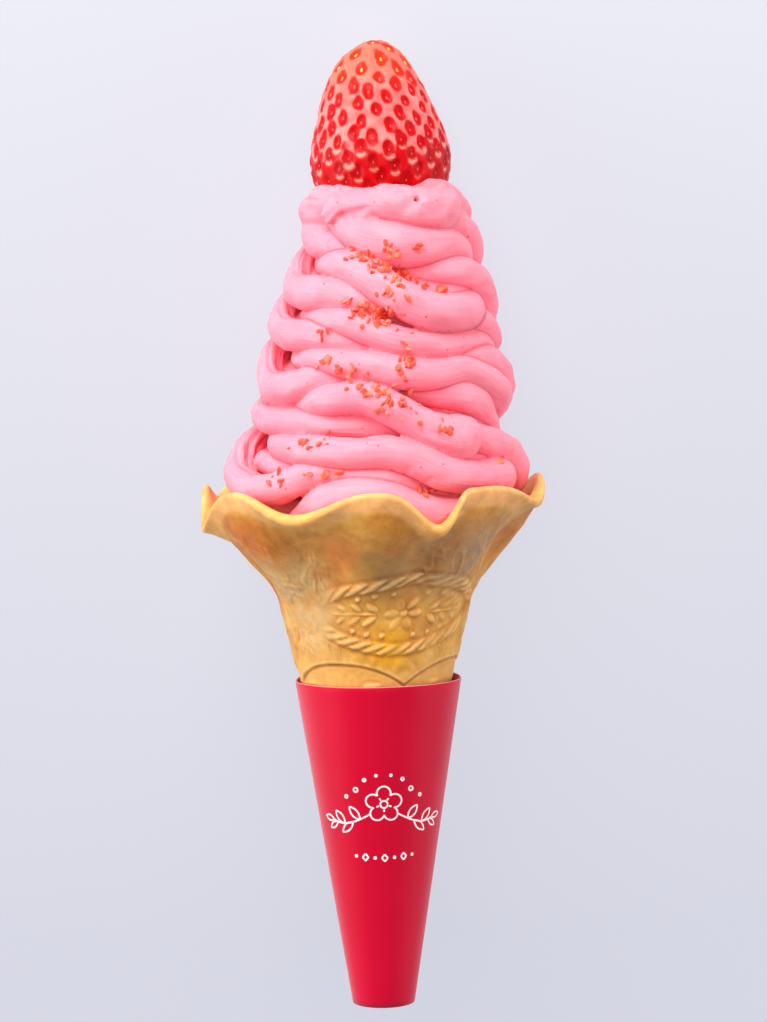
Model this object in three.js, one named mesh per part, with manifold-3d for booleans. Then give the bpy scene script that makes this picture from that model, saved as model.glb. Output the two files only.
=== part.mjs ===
// A soft-serve ice cream cone lying on its side: a wafer cone with a wavy flared lip, a rope of
// strawberry soft cream looped into a tall cone-shaped pile, freeze-dried strawberry crumbs, a
// strawberry on top and a rolled paper sleeve round the grip. Millimetres.
// It is built upright, +Y from the cone's foot to the berry and +Z towards the shown side, then
// laid down on the side of the pile, where the heavy end keeps it.
import * as THREE from "three";
import { mergeVertices } from "three/addons/utils/BufferGeometryUtils.js";
import Module from "manifold-3d";

const wasm = await Module();
wasm.setup();

// ---- driving sizes ----------------------------------------------------------------------
const GAP = 0.8; // left between neighbouring solids
const REST_FLAT = 0.7; // pressed flat where the piece rests
const SIMPLIFY = 0.2; // detail finer than this is dropped
const WELD = 2e-3; // vertices nearer than this become one
const WAFER_SEGMENTS = 70;

const SLEEVE = {
  footRadius: 8.3,
  topRadius: 22.6,
  height: 89.2,
  paper: 0.5,
  lapAngle: 205, // where the lapped edge starts, degrees round from the shown side
  lapWidth: 42,
  segments: 60,
};

const WAFER = {
  footHeight: 1.6, // sits this far up inside the sleeve's foot
  footRadius: 6.9,
  wall: 2.3,
  neckHeight: 91, // the plain lower body ends here
  neckRadius: 20.9,
  ledgeHeight: 95.5, // the raised upper body starts here
  ledgeRadius: 22.5,
  flareHeight: 110.7, // from here it flares to the lip
  flareRadius: 25.9,
  lipRadius: 45.5, // to the middle of the lip's edge
  crestHeight: 143.4,
  lipTilt: 0.045, // the lip's plane is higher on the right
};

// The lip's eight lobes: each crest's angle round from the shown side, how far it lies below the
// highest ones, how far the dip after it does, how narrow that dip is, and where it is lowest as
// a share of the way to the next crest.
const LOBES = [
  { crest: 359.2, low: 0.9, dip: 10.2, narrow: 1.4, lean: 0.66 },
  { crest: 34, low: 1.8, dip: 7.8, narrow: 1.1, lean: 0.62 },
  { crest: 96, low: 2.5, dip: 8.0, narrow: 1.1, lean: 0.5 },
  { crest: 150, low: 2.6, dip: 8.6, narrow: 1.2, lean: 0.5 },
  { crest: 196, low: 2.8, dip: 8.0, narrow: 1.1, lean: 0.5 },
  { crest: 239, low: 1.0, dip: 4.2, narrow: 1.0, lean: 0.4 },
  { crest: 266, low: 0, dip: 10.2, narrow: 1.2, lean: 0.31 },
  { crest: 309, low: 0, dip: 5.6, narrow: 1.0, lean: 0.5 },
];
const DIP_FLARE = { crest: 80, dip: 12 }; // the wall's slope at its edge, degrees
const FLARE_LEAD = 9; // how far the flare keeps the body's direction
const FLARE_CURL = 13.5; // how far it keeps the edge's direction

const ROPE_RADIUS = 3.9;
const ROPE_SIDES = 7;
const ROPE_STEP = 18; // degrees of turn for each step along the rope

// One double turn of the rope, laid clockwise: angle from the shown side, reach as a share of the
// layer's radius, lift from the layer's height, and girth. The first turn hooks round the left
// and passes under the second.
const DOUBLE_TURN = [
  { angle: 95, reach: 1.02, lift: -5.0 },
  { angle: 66, reach: 1.0, lift: 0.2 },
  { angle: 38, reach: 0.94, lift: 3.0 },
  { angle: 13, reach: 0.82, lift: 0.8 },
  { angle: -12, reach: 0.86, lift: -2.2 },
  { angle: -38, reach: 0.98, lift: -3.4 },
  { angle: -63, reach: 1.02, lift: -2.6 },
  { angle: -88, reach: 1.02, lift: 0.8 },
  { angle: -115, reach: 1.0, lift: 3.6 },
  { angle: -145, reach: 0.99, lift: 2.6 },
  { angle: -180, reach: 0.98, lift: -0.8 },
  { angle: -215, reach: 0.96, lift: -4.2 },
  { angle: -248, reach: 0.9, lift: -6.0 },
  { angle: -276, reach: 0.87, lift: -6.6, droops: true },
  { angle: -300, reach: 0.95, lift: -7.8, droops: true, fat: 0.7 },
  { angle: -324, reach: 1.0, lift: -8.2, droops: true, fat: 1 },
  { angle: -346, reach: 1.02, lift: -6.2, droops: true, fat: 0.8 },
  { angle: -367, reach: 1.02, lift: -0.8, droops: true, fat: 0.4 },
  { angle: -389, reach: 0.98, lift: 4.4 },
  { angle: -412, reach: 0.84, lift: 5.8 },
  { angle: -445, reach: 0.66, lift: 3.4, fat: -0.4 },
  { angle: -480, reach: 0.74, lift: 3.0 },
  { angle: -510, reach: 0.88, lift: 3.8 },
  { angle: -540, reach: 0.97, lift: 5.0 },
  { angle: -572, reach: 1.0, lift: 5.8 },
  { angle: -600, reach: 1.02, lift: 6.4 },
];
const LEFT_OUT = 625 + 95; // a double turn is two full turns

// The layers from the lip up: height, radius to the rope's middle, the middle's shift to the
// right, how far the second turn droops at the right front, and how much fatter it is there.
const LAYERS = [
  { height: 146.3, radius: 36.6, shift: 1.2, droop: 0.1, fat: 0.05 },
  { height: 161.0, radius: 30.4, shift: 0.8, droop: 0.85, fat: 0.4 },
  { height: 173.4, radius: 31.4, shift: 3.6, droop: 0.3, fat: 0.05 },
  { height: 186.8, radius: 28.0, shift: 3.8, droop: 0.75, fat: 0.15 },
  { height: 198.4, radius: 25.4, shift: 5.4, droop: 1.0, fat: 0.32 },
  { height: 209.8, radius: 21.4, shift: 5.2, droop: 0.4, fat: 0.3 },
];
const LAYER_PITCH = 12.6; // the lifts above are for layers this far apart

// The last loops, smeared round the berry, and the rings that bed into the cone's mouth.
const TOP_LOOPS = [
  { height: 218.6, radius: 16.0, shift: 4.4, girth: 5.6, tilt: 1.2 },
  { height: 214.2, radius: 9.0, shift: 4.0, girth: 6.4, tilt: -1.0 },
];
const BED_LOOPS = [
  { height: 139.6, radius: 31.5, shift: 0, girth: 5.0, tilt: -2.2 },
  { height: 133.0, radius: 26.0, shift: 0, girth: 6.0, tilt: 0 },
];

// The solid middle of the pile, from the plug in the cone's mouth up, as heights, radii and
// shifts to the right.
const CORE = [
  { height: 98, radius: 18, shift: 0 },
  { height: 101, radius: 20.5, shift: 0 },
  { height: 112, radius: 22.5, shift: 0 },
  { height: 128, radius: 27, shift: 0 },
  { height: 136, radius: 30, shift: 0.4 },
  { height: 146, radius: 26.5, shift: 1 },
  { height: 162, radius: 21.5, shift: 1.4 },
  { height: 180, radius: 20.5, shift: 3.4 },
  { height: 198, radius: 17.5, shift: 4.8 },
  { height: 212, radius: 14.5, shift: 5 },
  { height: 219, radius: 11, shift: 4.4 },
];
const CORE_SEGMENTS = 32;

const BERRY = {
  shift: 3.4, // to the right of the cone's axis
  lean: -1.6, // degrees, its tip leaning left
  stemHeight: 216.5,
  length: 45,
  radius: 19,
  widest: 0.28, // share of the length where it is widest
  rows: 28,
  segments: 36,
  pitDepth: 0.7,
};

const CRUMB = { size: 1.15, sizeSpread: 0.45, sunk: 0.35, seed: 7 };
// Where the crumbs fell: centre to the right and height, half spreads, and how many.
const DRIFTS = [
  { x: 2.5, y: 201, wide: 6.5, tall: 3.2, slope: -0.7, count: 13 },
  { x: 9.5, y: 198, wide: 4, tall: 2.4, slope: -0.4, count: 6 },
  { x: 0.5, y: 187, wide: 6, tall: 3.4, slope: -0.2, count: 13 },
  { x: -12, y: 183, wide: 2.5, tall: 1.5, slope: 0, count: 2 },
  { x: 10.5, y: 178, wide: 1.6, tall: 5.5, slope: 0, count: 7 },
  { x: -7.5, y: 173, wide: 4, tall: 3, slope: 0.2, count: 5 },
  { x: 4, y: 168, wide: 6, tall: 3.5, slope: -0.3, count: 10 },
  { x: 16, y: 160, wide: 3.5, tall: 2, slope: -0.3, count: 3 },
  { x: -18, y: 153.5, wide: 6, tall: 2, slope: 0.15, count: 4 },
  { x: -21, y: 146, wide: 8, tall: 3, slope: 0.1, count: 5 },
];

// ---- small tools ------------------------------------------------------------------------
const radians = THREE.MathUtils.degToRad;
const lerp = THREE.MathUtils.lerp;

// Numbers from 0 to 1, the same each time for one seed.
function seeded(seed) {
  let state = seed;
  return () => {
    state = (state * 1664525 + 1013904223) % 4294967296;
    return state / 4294967296;
  };
}

function solidOf(geometry) {
  const bare = geometry.clone();
  bare.deleteAttribute("normal");
  bare.deleteAttribute("uv");
  const merged = mergeVertices(bare, WELD);
  return new wasm.Manifold(
    new wasm.Mesh({
      numProp: 3,
      vertProperties: new Float32Array(merged.attributes.position.array),
      triVerts: new Uint32Array(merged.index.array),
    }),
  );
}

function geometryOf(solid) {
  const mesh = solid.getMesh();
  const geometry = new THREE.BufferGeometry();
  geometry.setAttribute("position", new THREE.BufferAttribute(mesh.vertProperties, 3));
  geometry.setIndex(new THREE.BufferAttribute(mesh.triVerts, 1));
  geometry.computeVertexNormals();
  return geometry;
}

// Whether each edge still joins just two faces when vertices nearer than WELD become one.
function isSound(solid) {
  const geometry = geometryOf(solid);
  geometry.deleteAttribute("normal");
  const index = mergeVertices(geometry, WELD).index.array;
  const faces = new Map();
  for (let i = 0; i < index.length; i += 3)
    for (let j = 0; j < 3; j++) {
      const a = index[i + j];
      const b = index[i + ((j + 1) % 3)];
      const edge = `${Math.min(a, b)} ${Math.max(a, b)}`;
      faces.set(edge, (faces.get(edge) || 0) + 1);
    }
  return [...faces.values()].every((count) => count === 2);
}

// A solid's largest body, simplified until it has no slivers, scraps or pinched edges.
function tidied(solid) {
  const largest = (whole) =>
    whole.decompose().reduce((best, body) => (body.volume() > best.volume() ? body : best));
  let finest = SIMPLIFY;
  let body = largest(solid.simplify(finest));
  while (!isSound(body) && finest < 2 * SIMPLIFY) {
    finest *= 1.05;
    body = largest(solid.simplify(finest));
  }
  return body;
}

// A closed surface from rings of points, each ring going the same way round, capped by fans.
function ringsGeometry(rings) {
  const count = rings[0].length;
  const vertices = rings.flat();
  const centreOf = (ring) =>
    ring.reduce((sum, p) => sum.add(p), new THREE.Vector3()).divideScalar(count);
  vertices.push(centreOf(rings[0]), centreOf(rings[rings.length - 1]));
  const index = [];
  for (let row = 0; row + 1 < rings.length; row++)
    for (let i = 0; i < count; i++) {
      const a = row * count + i;
      const b = row * count + ((i + 1) % count);
      index.push(a, b, a + count, b, b + count, a + count);
    }
  const first = vertices.length - 2;
  const last = first + 1;
  const lastRow = (rings.length - 1) * count;
  for (let i = 0; i < count; i++) {
    const next = (i + 1) % count;
    index.push(first, next, i, last, lastRow + i, lastRow + next);
  }
  const geometry = new THREE.BufferGeometry().setFromPoints(vertices);
  return geometry.setIndex(index);
}

// The point at an angle round the axis from the shown side, at a radius and a height.
function around(angle, radius, height, shift = 0) {
  return new THREE.Vector3(
    shift + radius * Math.sin(angle),
    height,
    radius * Math.cos(angle),
  );
}

// ---- wafer ------------------------------------------------------------------------------
// How far below a crest the lip lies at an angle, as a depth and a share from crest to dip.
function lipWave(angle) {
  const degrees = (angle * 180) / Math.PI;
  for (let i = 0; i < LOBES.length; i++) {
    const { crest, low, dip, narrow, lean } = LOBES[i];
    const after = LOBES[(i + 1) % LOBES.length];
    const width = (after.crest - crest + 360) % 360;
    const turned = (degrees - crest + 720) % 360;
    if (turned >= width) continue;
    const part = (turned / width) ** (Math.log(0.5) / Math.log(lean));
    const share = ((1 - Math.cos(2 * Math.PI * part)) / 2) ** narrow;
    return { drop: lerp(lerp(low, after.low, part), dip, share), share };
  }
  return { drop: 0, share: 0 };
}

// The middle line of the wafer's wall at an angle, from foot to lip, as radii and heights.
function wallLine(angle) {
  const { drop, share } = lipWave(angle);
  const half = WAFER.wall / 2;
  const start = new THREE.Vector2(WAFER.flareRadius - half, WAFER.flareHeight);
  const end = new THREE.Vector2(
    WAFER.lipRadius + 0.2 * share,
    WAFER.crestHeight - drop + WAFER.lipTilt * WAFER.lipRadius * Math.sin(angle),
  );
  const slope = radians(lerp(DIP_FLARE.crest, DIP_FLARE.dip, share));
  const flare = new THREE.CubicBezierCurve(
    start,
    start.clone().add(new THREE.Vector2(0.3, 1).setLength(FLARE_LEAD)),
    end.clone().sub(new THREE.Vector2(Math.cos(slope), Math.sin(slope)).setLength(FLARE_CURL)),
    end,
  );
  return [
    new THREE.Vector2(WAFER.footRadius - half, WAFER.footHeight + half),
    new THREE.Vector2(WAFER.neckRadius - half, WAFER.neckHeight),
    new THREE.Vector2(WAFER.ledgeRadius - half, WAFER.ledgeHeight),
    ...flare.getPoints(7),
  ];
}

// The wafer as a closed profile at each angle: outside from foot to lip, round the edge, and
// back down inside. grown swells it on every side.
function waferSolid(grown = 0) {
  const half = WAFER.wall / 2 + grown;
  const profiles = [];
  for (let i = 0; i < WAFER_SEGMENTS; i++) {
    const angle = (2 * Math.PI * i) / WAFER_SEGMENTS;
    const line = wallLine(angle);
    const normals = line.map((p, j) => {
      const along = line[Math.min(j + 1, line.length - 1)]
        .clone()
        .sub(line[Math.max(j - 1, 0)])
        .normalize();
      return new THREE.Vector2(along.y, -along.x);
    });
    const outside = line.map((p, j) => p.clone().addScaledVector(normals[j], half));
    const inside = line.map((p, j) => p.clone().addScaledVector(normals[j], -half)).reverse();
    const tip = line[line.length - 1];
    const out = normals[normals.length - 1];
    const along = new THREE.Vector2(-out.y, out.x);
    const edge = [0.25, 0.5, 0.75].map((part) =>
      tip
        .clone()
        .addScaledVector(out, half * Math.cos(Math.PI * part))
        .addScaledVector(along, half * Math.sin(Math.PI * part)),
    );
    const foot = outside[0].clone();
    foot.set(foot.x - 1.2, WAFER.footHeight - grown);
    const floor = inside[inside.length - 1].clone();
    floor.y = WAFER.footHeight + WAFER.wall + grown;
    profiles.push(
      [foot, ...outside, ...edge, ...inside.slice(0, -1), floor].map((p) =>
        around(angle, p.x, p.y),
      ),
    );
  }
  const rings = profiles[0].map((_, row) => profiles.map((profile) => profile[row]));
  return solidOf(ringsGeometry(rings));
}

// ---- paper sleeve -----------------------------------------------------------------------
function sleeveSolid() {
  const lapStart = radians(SLEEVE.lapAngle);
  const lapEnd = radians(SLEEVE.lapAngle + SLEEVE.lapWidth);
  const angles = [];
  for (let i = 0; i < SLEEVE.segments; i++) angles.push((2 * Math.PI * i) / SLEEVE.segments);
  const radiusAt = (angle, base) =>
    base + (angle >= lapStart && angle < lapEnd ? SLEEVE.paper : 0);
  const ring = (base, height, lapped) =>
    angles.map((angle) => around(angle, lapped ? radiusAt(angle, base) : base, height));
  const { footRadius, topRadius, height, paper } = SLEEVE;
  const outer = solidOf(ringsGeometry([ring(footRadius, 0, true), ring(topRadius, height, true)]));
  const slope = (topRadius - footRadius) / height;
  const bore = solidOf(
    ringsGeometry([
      ring(footRadius - paper - slope, -1, false),
      ring(topRadius - paper + slope, height + 1, false),
    ]),
  );
  return outer.subtract(bore);
}

// ---- soft cream -------------------------------------------------------------------------
// The rope's stations for the whole pile: points and radii, laid from the lip up.
function ropeStations() {
  const stations = [];
  LAYERS.forEach((layer, k) => {
    const above = LAYERS[Math.min(k + 1, LAYERS.length - 1)];
    DOUBLE_TURN.forEach((station) => {
      const done = Math.max(0, -station.angle - 360) / 240;
      const blend = done * done * 0.5;
      const radius = lerp(layer.radius, above.radius, blend) * station.reach;
      const shift = lerp(layer.shift, above.shift, blend);
      const pitch = above === layer ? LAYER_PITCH : above.height - layer.height;
      const scale = station.angle < -480 ? pitch / LAYER_PITCH : 1;
      const lift = station.lift * (station.droops ? layer.droop : scale);
      const fat = 1 + (station.fat || 0) * (station.droops ? layer.fat : 0.2);
      stations.push({
        point: around(radians(station.angle), radius, layer.height + lift, shift),
        angle: station.angle - k * LEFT_OUT,
        girth: ROPE_RADIUS * fat,
      });
    });
  });
  return stations;
}

// The rope through its stations, as points and radii at even steps of turn.
function ropeLine() {
  const stations = ropeStations();
  const curve = new THREE.CatmullRomCurve3(
    stations.map((s) => s.point),
    false,
    "centripetal",
  );
  const line = [];
  const last = stations.length - 1;
  for (let i = 0; i < last; i++) {
    const turn = stations[i].angle - stations[i + 1].angle;
    const steps = Math.max(1, Math.round(turn / ROPE_STEP));
    for (let j = 0; j < steps; j++) {
      const part = j / steps;
      line.push({
        point: curve.getPoint((i + part) / last),
        girth: lerp(stations[i].girth, stations[i + 1].girth, part),
      });
    }
  }
  line.push({ point: stations[last].point, girth: stations[last].girth });
  return line;
}

// A plain tilted loop of rope, as points and radii.
function loopLine(loop) {
  const line = [];
  for (let degrees = 0; degrees <= 360; degrees += 20) {
    const angle = radians(degrees);
    line.push({
      point: around(angle, loop.radius, loop.height + loop.tilt * Math.sin(angle), loop.shift),
      girth: loop.girth,
    });
  }
  return line;
}

// A round tube along a line of points and radii, with closed ends.
function tubeSolid(line, sides, closed = false) {
  const up = new THREE.Vector3(0, 1, 0);
  const count = line.length - (closed ? 1 : 0);
  const rings = [];
  for (let i = 0; i < count; i++) {
    const before = line[closed ? (i + count - 1) % count : Math.max(i - 1, 0)].point;
    const after = line[closed ? (i + 1) % count : Math.min(i + 1, line.length - 1)].point;
    const along = after.clone().sub(before).normalize();
    const side = up.clone().cross(along).normalize();
    const top = along.clone().cross(side).normalize();
    const ring = [];
    for (let j = 0; j < sides; j++) {
      const angle = (2 * Math.PI * (j + 0.5)) / sides;
      ring.push(
        line[i].point
          .clone()
          .addScaledVector(side, line[i].girth * Math.cos(angle))
          .addScaledVector(top, line[i].girth * Math.sin(angle)),
      );
    }
    rings.push(ring);
  }
  if (!closed) return solidOf(ringsGeometry(rings));
  const index = [];
  for (let i = 0; i < count; i++)
    for (let j = 0; j < sides; j++) {
      const a = i * sides + j;
      const b = i * sides + ((j + 1) % sides);
      const c = ((i + 1) % count) * sides + j;
      const d = ((i + 1) % count) * sides + ((j + 1) % sides);
      index.push(a, b, c, b, d, c);
    }
  return solidOf(new THREE.BufferGeometry().setFromPoints(rings.flat()).setIndex(index));
}

// The rope in lengths under one turn, so that no length meets itself.
function ropeSolids(line) {
  const length = Math.round(250 / ROPE_STEP);
  const solids = [];
  for (let start = 0; start < line.length - 1; start += length) {
    const piece = line.slice(start, start + length + 2).map((here) => ({ ...here }));
    if (start > 0) {
      piece[0].girth *= 0.6; // inside the end of the length before
      piece[1].girth *= 0.985;
    }
    solids.push(tubeSolid(piece, ROPE_SIDES));
  }
  return solids;
}

function coreSolid() {
  const rings = CORE.map(({ height, radius, shift }) =>
    Array.from({ length: CORE_SEGMENTS }, (_, i) =>
      around((2 * Math.PI * i) / CORE_SEGMENTS, radius, height, shift),
    ),
  );
  return solidOf(ringsGeometry(rings));
}

// The height of the cream's shown side above the middle plane at a place, or undefined.
function shownSurface(lines, x, y) {
  let highest;
  for (const line of lines)
    for (const { point, girth } of line) {
      const away = (point.x - x) ** 2 + (point.y - y) ** 2;
      const reach = girth * girth - away;
      if (reach <= 0) continue;
      const z = point.z + Math.sqrt(reach);
      if (highest === undefined || z > highest) highest = z;
    }
  return highest;
}

function crumbSolids(lines) {
  const draw = seeded(CRUMB.seed);
  const spread = () => draw() + draw() - 1;
  const crumbs = [];
  for (const drift of DRIFTS)
    for (let i = 0; i < drift.count; i++) {
      const dx = spread() * drift.wide;
      const x = drift.x + dx;
      const y = drift.y + dx * drift.slope + spread() * drift.tall;
      const z = shownSurface(lines, x, y);
      const size = CRUMB.size * (1 + CRUMB.sizeSpread * spread());
      const stretch = [1 + 0.3 * spread(), 0.8 + 0.2 * spread(), 1 + 0.3 * spread()];
      const turn = new THREE.Euler(draw() * 6, draw() * 6, draw() * 6);
      if (z === undefined) continue;
      const crumb = new THREE.IcosahedronGeometry(size, 0)
        .scale(...stretch)
        .applyMatrix4(new THREE.Matrix4().makeRotationFromEuler(turn))
        .translate(x, y, z + size * (0.5 - CRUMB.sunk));
      crumbs.push(solidOf(crumb));
    }
  return crumbs;
}

function creamSolid() {
  const rope = ropeLine();
  const loops = [...TOP_LOOPS, ...BED_LOOPS].map(loopLine);
  const fineRope = rope.flatMap((here, i) => {
    const next = rope[Math.min(i + 1, rope.length - 1)];
    return [0, 0.34, 0.67].map((part) => ({
      point: here.point.clone().lerp(next.point, part),
      girth: lerp(here.girth, next.girth, part),
    }));
  });
  const solids = [
    coreSolid(),
    ...ropeSolids(rope),
    ...loops.map((line) => tubeSolid(line, 10, true)),
    ...crumbSolids([fineRope]),
  ];
  const joined = wasm.Manifold.union(solids);
  return tidied(joined.subtract(waferSolid(GAP)).subtract(berrySolid(GAP)));
}

// ---- berry ------------------------------------------------------------------------------
// A plump cone, rounded at both ends, with a pit at every other vertex of every other row.
function berrySolid(grown = 0) {
  const rings = [];
  for (let row = 1; row < BERRY.rows; row++) {
    const part = row / BERRY.rows;
    const t = (1 - Math.cos(Math.PI * part)) / 2;
    const shoulder = Math.sin((Math.PI / 2) * Math.min(1, t / BERRY.widest));
    const past = Math.max(0, (t - BERRY.widest) / (1 - BERRY.widest));
    const taper = Math.sqrt(Math.max(0, 1 - past ** 2.1)) * (1 - 0.16 * past * (1 - past) * 4);
    const radius = BERRY.radius * (t < BERRY.widest ? Math.sqrt(shoulder) : taper);
    rings.push(
      Array.from({ length: BERRY.segments }, (_, i) => {
        const pitted = row % 2 === 0 && (i + row / 2) % 2 === 0 && row < BERRY.rows - 2;
        const depth = pitted && !grown ? BERRY.pitDepth * Math.min(1, radius / 10) : 0;
        const angle = (2 * Math.PI * i) / BERRY.segments;
        return around(angle, radius + grown - depth, t * (BERRY.length + 2 * grown) - grown);
      }),
    );
  }
  const geometry = ringsGeometry(rings)
    .rotateZ(radians(-BERRY.lean))
    .translate(BERRY.shift, BERRY.stemHeight, 0);
  return solidOf(geometry);
}

// ---- laying it down ---------------------------------------------------------------------
const upright = {
  wafer_cone: waferSolid(),
  paper_sleeve: sleeveSolid(),
  soft_cream: creamSolid(),
  strawberry: berrySolid(),
};

// The lowest point of a solid when the upright piece is tipped back by an angle.
function lowestOf(solid, tilt) {
  const { vertProperties } = solid.getMesh();
  let lowest = Infinity;
  for (let i = 0; i < vertProperties.length; i += 3) {
    const y = vertProperties[i + 1];
    const z = vertProperties[i + 2];
    lowest = Math.min(lowest, y * Math.sin(tilt) + z * Math.cos(tilt));
  }
  return lowest;
}

// The tilt at which the lip and the berry touch the same floor, by halving.
function restTilt() {
  let shallow = radians(-5);
  let steep = radians(-30);
  while (shallow - steep > 1e-5) {
    const middle = (shallow + steep) / 2;
    const lipHigher = lowestOf(upright.wafer_cone, middle) > lowestOf(upright.strawberry, middle);
    if (lipHigher) steep = middle;
    else shallow = middle;
  }
  return (shallow + steep) / 2;
}

const tilt = restTilt();
const floor = lowestOf(upright.wafer_cone, tilt) + REST_FLAT;
const aboveFloor = solidOf(
  new THREE.BoxGeometry(400, 800, 400).translate(0, 0, 200 + floor),
);

const MATERIALS = {
  wafer_cone: { color: 0xdca65c, roughness: 0.75, metalness: 0 },
  paper_sleeve: { color: 0xd60a3a, roughness: 0.45, metalness: 0 },
  soft_cream: { color: 0xfbb0c2, roughness: 0.5, metalness: 0 },
  strawberry: { color: 0xe6282b, roughness: 0.3, metalness: 0 },
};

const group = new THREE.Group();
for (const [name, solid] of Object.entries(upright)) {
  const laid = solidOf(geometryOf(solid).rotateX(tilt)).intersect(aboveFloor);
  const mesh = new THREE.Mesh(
    geometryOf(tidied(laid)),
    new THREE.MeshStandardMaterial(MATERIALS[name]),
  );
  mesh.name = name;
  group.add(mesh);
}

// The origin is under the middle of the lying piece, on the floor.
const box = new THREE.Box3().setFromObject(group, true);
const middle = box.getCenter(new THREE.Vector3());
group.position.set(-middle.x, -middle.y, -box.min.z);

export default group;
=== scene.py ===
import math

import bmesh
import bpy
import numpy as np
from mathutils import Euler, Matrix, Vector
from mathutils.bvhtree import BVHTree


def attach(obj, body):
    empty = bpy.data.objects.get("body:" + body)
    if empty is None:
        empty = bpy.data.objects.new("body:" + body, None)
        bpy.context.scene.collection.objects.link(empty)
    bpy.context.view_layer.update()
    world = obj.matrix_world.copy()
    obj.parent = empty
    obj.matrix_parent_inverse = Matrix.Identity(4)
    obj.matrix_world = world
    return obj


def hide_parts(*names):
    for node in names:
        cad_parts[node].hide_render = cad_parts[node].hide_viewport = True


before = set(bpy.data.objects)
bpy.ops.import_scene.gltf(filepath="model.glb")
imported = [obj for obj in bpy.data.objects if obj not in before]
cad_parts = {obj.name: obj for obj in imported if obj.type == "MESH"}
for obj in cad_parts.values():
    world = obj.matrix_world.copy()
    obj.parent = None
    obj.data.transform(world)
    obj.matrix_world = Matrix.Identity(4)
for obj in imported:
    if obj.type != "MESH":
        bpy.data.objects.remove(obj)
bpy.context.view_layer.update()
print("frame loaded")

# Everything is worked out in millimetres with the cone upright: x to the right, y from its foot
# to the berry, z towards the shown side. layDown then puts it in the shared frame, in metres.
lying = {
    "tilt": -16.878,  # degrees, the berry end dips to the floor
    "place": (0.044, -124.155, 83.985),  # mm, where the cone's foot goes
    "floorGap": 0.02,  # mm, pressed flat this far above the floor
}


def layDown(points):
    angle = math.radians(lying["tilt"])
    x, y, z = np.asarray(points, float).T
    laid = np.stack([
        x + lying["place"][0],
        y * math.cos(angle) - z * math.sin(angle) + lying["place"][1],
        y * math.sin(angle) + z * math.cos(angle) + lying["place"][2],
    ], axis=1)
    laid[:, 2] = np.maximum(laid[:, 2], lying["floorGap"])
    return laid * 0.001


def layDownPoint(x, y, z):
    angle = math.radians(lying["tilt"])
    place = Vector(lying["place"])
    return (Matrix.Rotation(angle, 3, "X") @ Vector((x, y, z)) + place) * 0.001


# Shared helpers.

def linear(hexCode):
    channels = [int(hexCode[i:i + 2], 16) / 255 for i in (1, 3, 5)]
    return tuple(c / 12.92 if c <= 0.04045 else ((c + 0.055) / 1.055) ** 2.4
                 for c in channels) + (1.0,)


def addNode(tree, kind, settings=None, stops=(), output=0):
    # Settings are the node's own, or its inputs by name or number: a value or what feeds it.
    node = tree.nodes.new(kind)
    for name, value in (settings or {}).items():
        if isinstance(name, str) and hasattr(node, name):
            setattr(node, name, value)
        elif isinstance(value, bpy.types.NodeSocket):
            tree.links.new(value, node.inputs[name])
        else:
            node.inputs[name].default_value = value
    for i, (place, colour) in enumerate(stops):
        elements = node.color_ramp.elements
        element = elements[i] if i < len(elements) else elements.new(place)
        element.position = place
        element.color = linear(colour) if isinstance(colour, str) else (colour,) * 3 + (1,)
    return node.outputs[output]


def newMaterial(name):
    material = bpy.data.materials.new(name)
    material.use_nodes = True
    tree = material.node_tree
    return material, tree, tree.nodes["Principled BSDF"]


def makePiece(name, points, faces, material, attributes=None):
    mesh = bpy.data.meshes.new(name)
    mesh.from_pydata(layDown(points).tolist(), [], faces)
    for key, values in (attributes or {}).items():
        layer = mesh.attributes.new(key, "FLOAT", "POINT")
        layer.data.foreach_set("value", np.asarray(values, np.float32).ravel())
    mesh.polygons.foreach_set("use_smooth", [True] * len(mesh.polygons))
    mesh.materials.append(material)
    mesh.update()
    piece = bpy.data.objects.new(name, mesh)
    bpy.context.scene.collection.objects.link(piece)
    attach(piece, "root")
    return piece


def gridFaces(rows, columns, closed=True):
    # Faces between rows of points, each row going round once.
    across = columns if closed else columns - 1
    row, column = np.meshgrid(np.arange(rows - 1), np.arange(across), indexing="ij")
    following = (column + 1) % columns
    corners = [row * columns + column, row * columns + following,
               (row + 1) * columns + following, (row + 1) * columns + column]
    return np.stack(corners, axis=-1).reshape(-1, 4).tolist()


def closedFaces(rows, columns):
    # The same with the last row joined to the first.
    last = (rows - 1) * columns
    return gridFaces(rows, columns) + [
        [last + i, last + (i + 1) % columns, (i + 1) % columns, i] for i in range(columns)]


def ballOf(level):
    shape = bmesh.new()
    bmesh.ops.create_icosphere(shape, subdivisions=level, radius=1)
    points = np.array([v.co[:] for v in shape.verts])
    faces = [[v.index for v in f.verts] for f in shape.faces]
    shape.free()
    return points, faces


def ripple(points, size, seed, waves=32):
    # Smooth noise about 0 with a spread of 1, its lumps about size across.
    draw = np.random.default_rng(seed)
    directions = draw.normal(size=(waves, points.shape[1]))
    directions /= np.linalg.norm(directions, axis=1, keepdims=True)
    directions *= (2 * math.pi / size) * draw.uniform(0.6, 1.5, (waves, 1))
    phases = draw.uniform(0, 2 * math.pi, waves)
    return np.cos(points @ directions.T + phases).sum(axis=1) / math.sqrt(waves / 2)


def smooth(value, low, high):
    part = np.clip((value - low) / (high - low), 0, 1)
    return part * part * (3 - 2 * part)


def lengthsAlong(line):
    # How far along a line each of its points lies.
    return np.concatenate([[0], np.cumsum(np.linalg.norm(np.diff(line, axis=0), axis=1))])


def table(value, rows, column=1):
    rows = sorted(rows)
    return np.interp(value, [r[0] for r in rows], [r[column] for r in rows])


# Camera and light.

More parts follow.
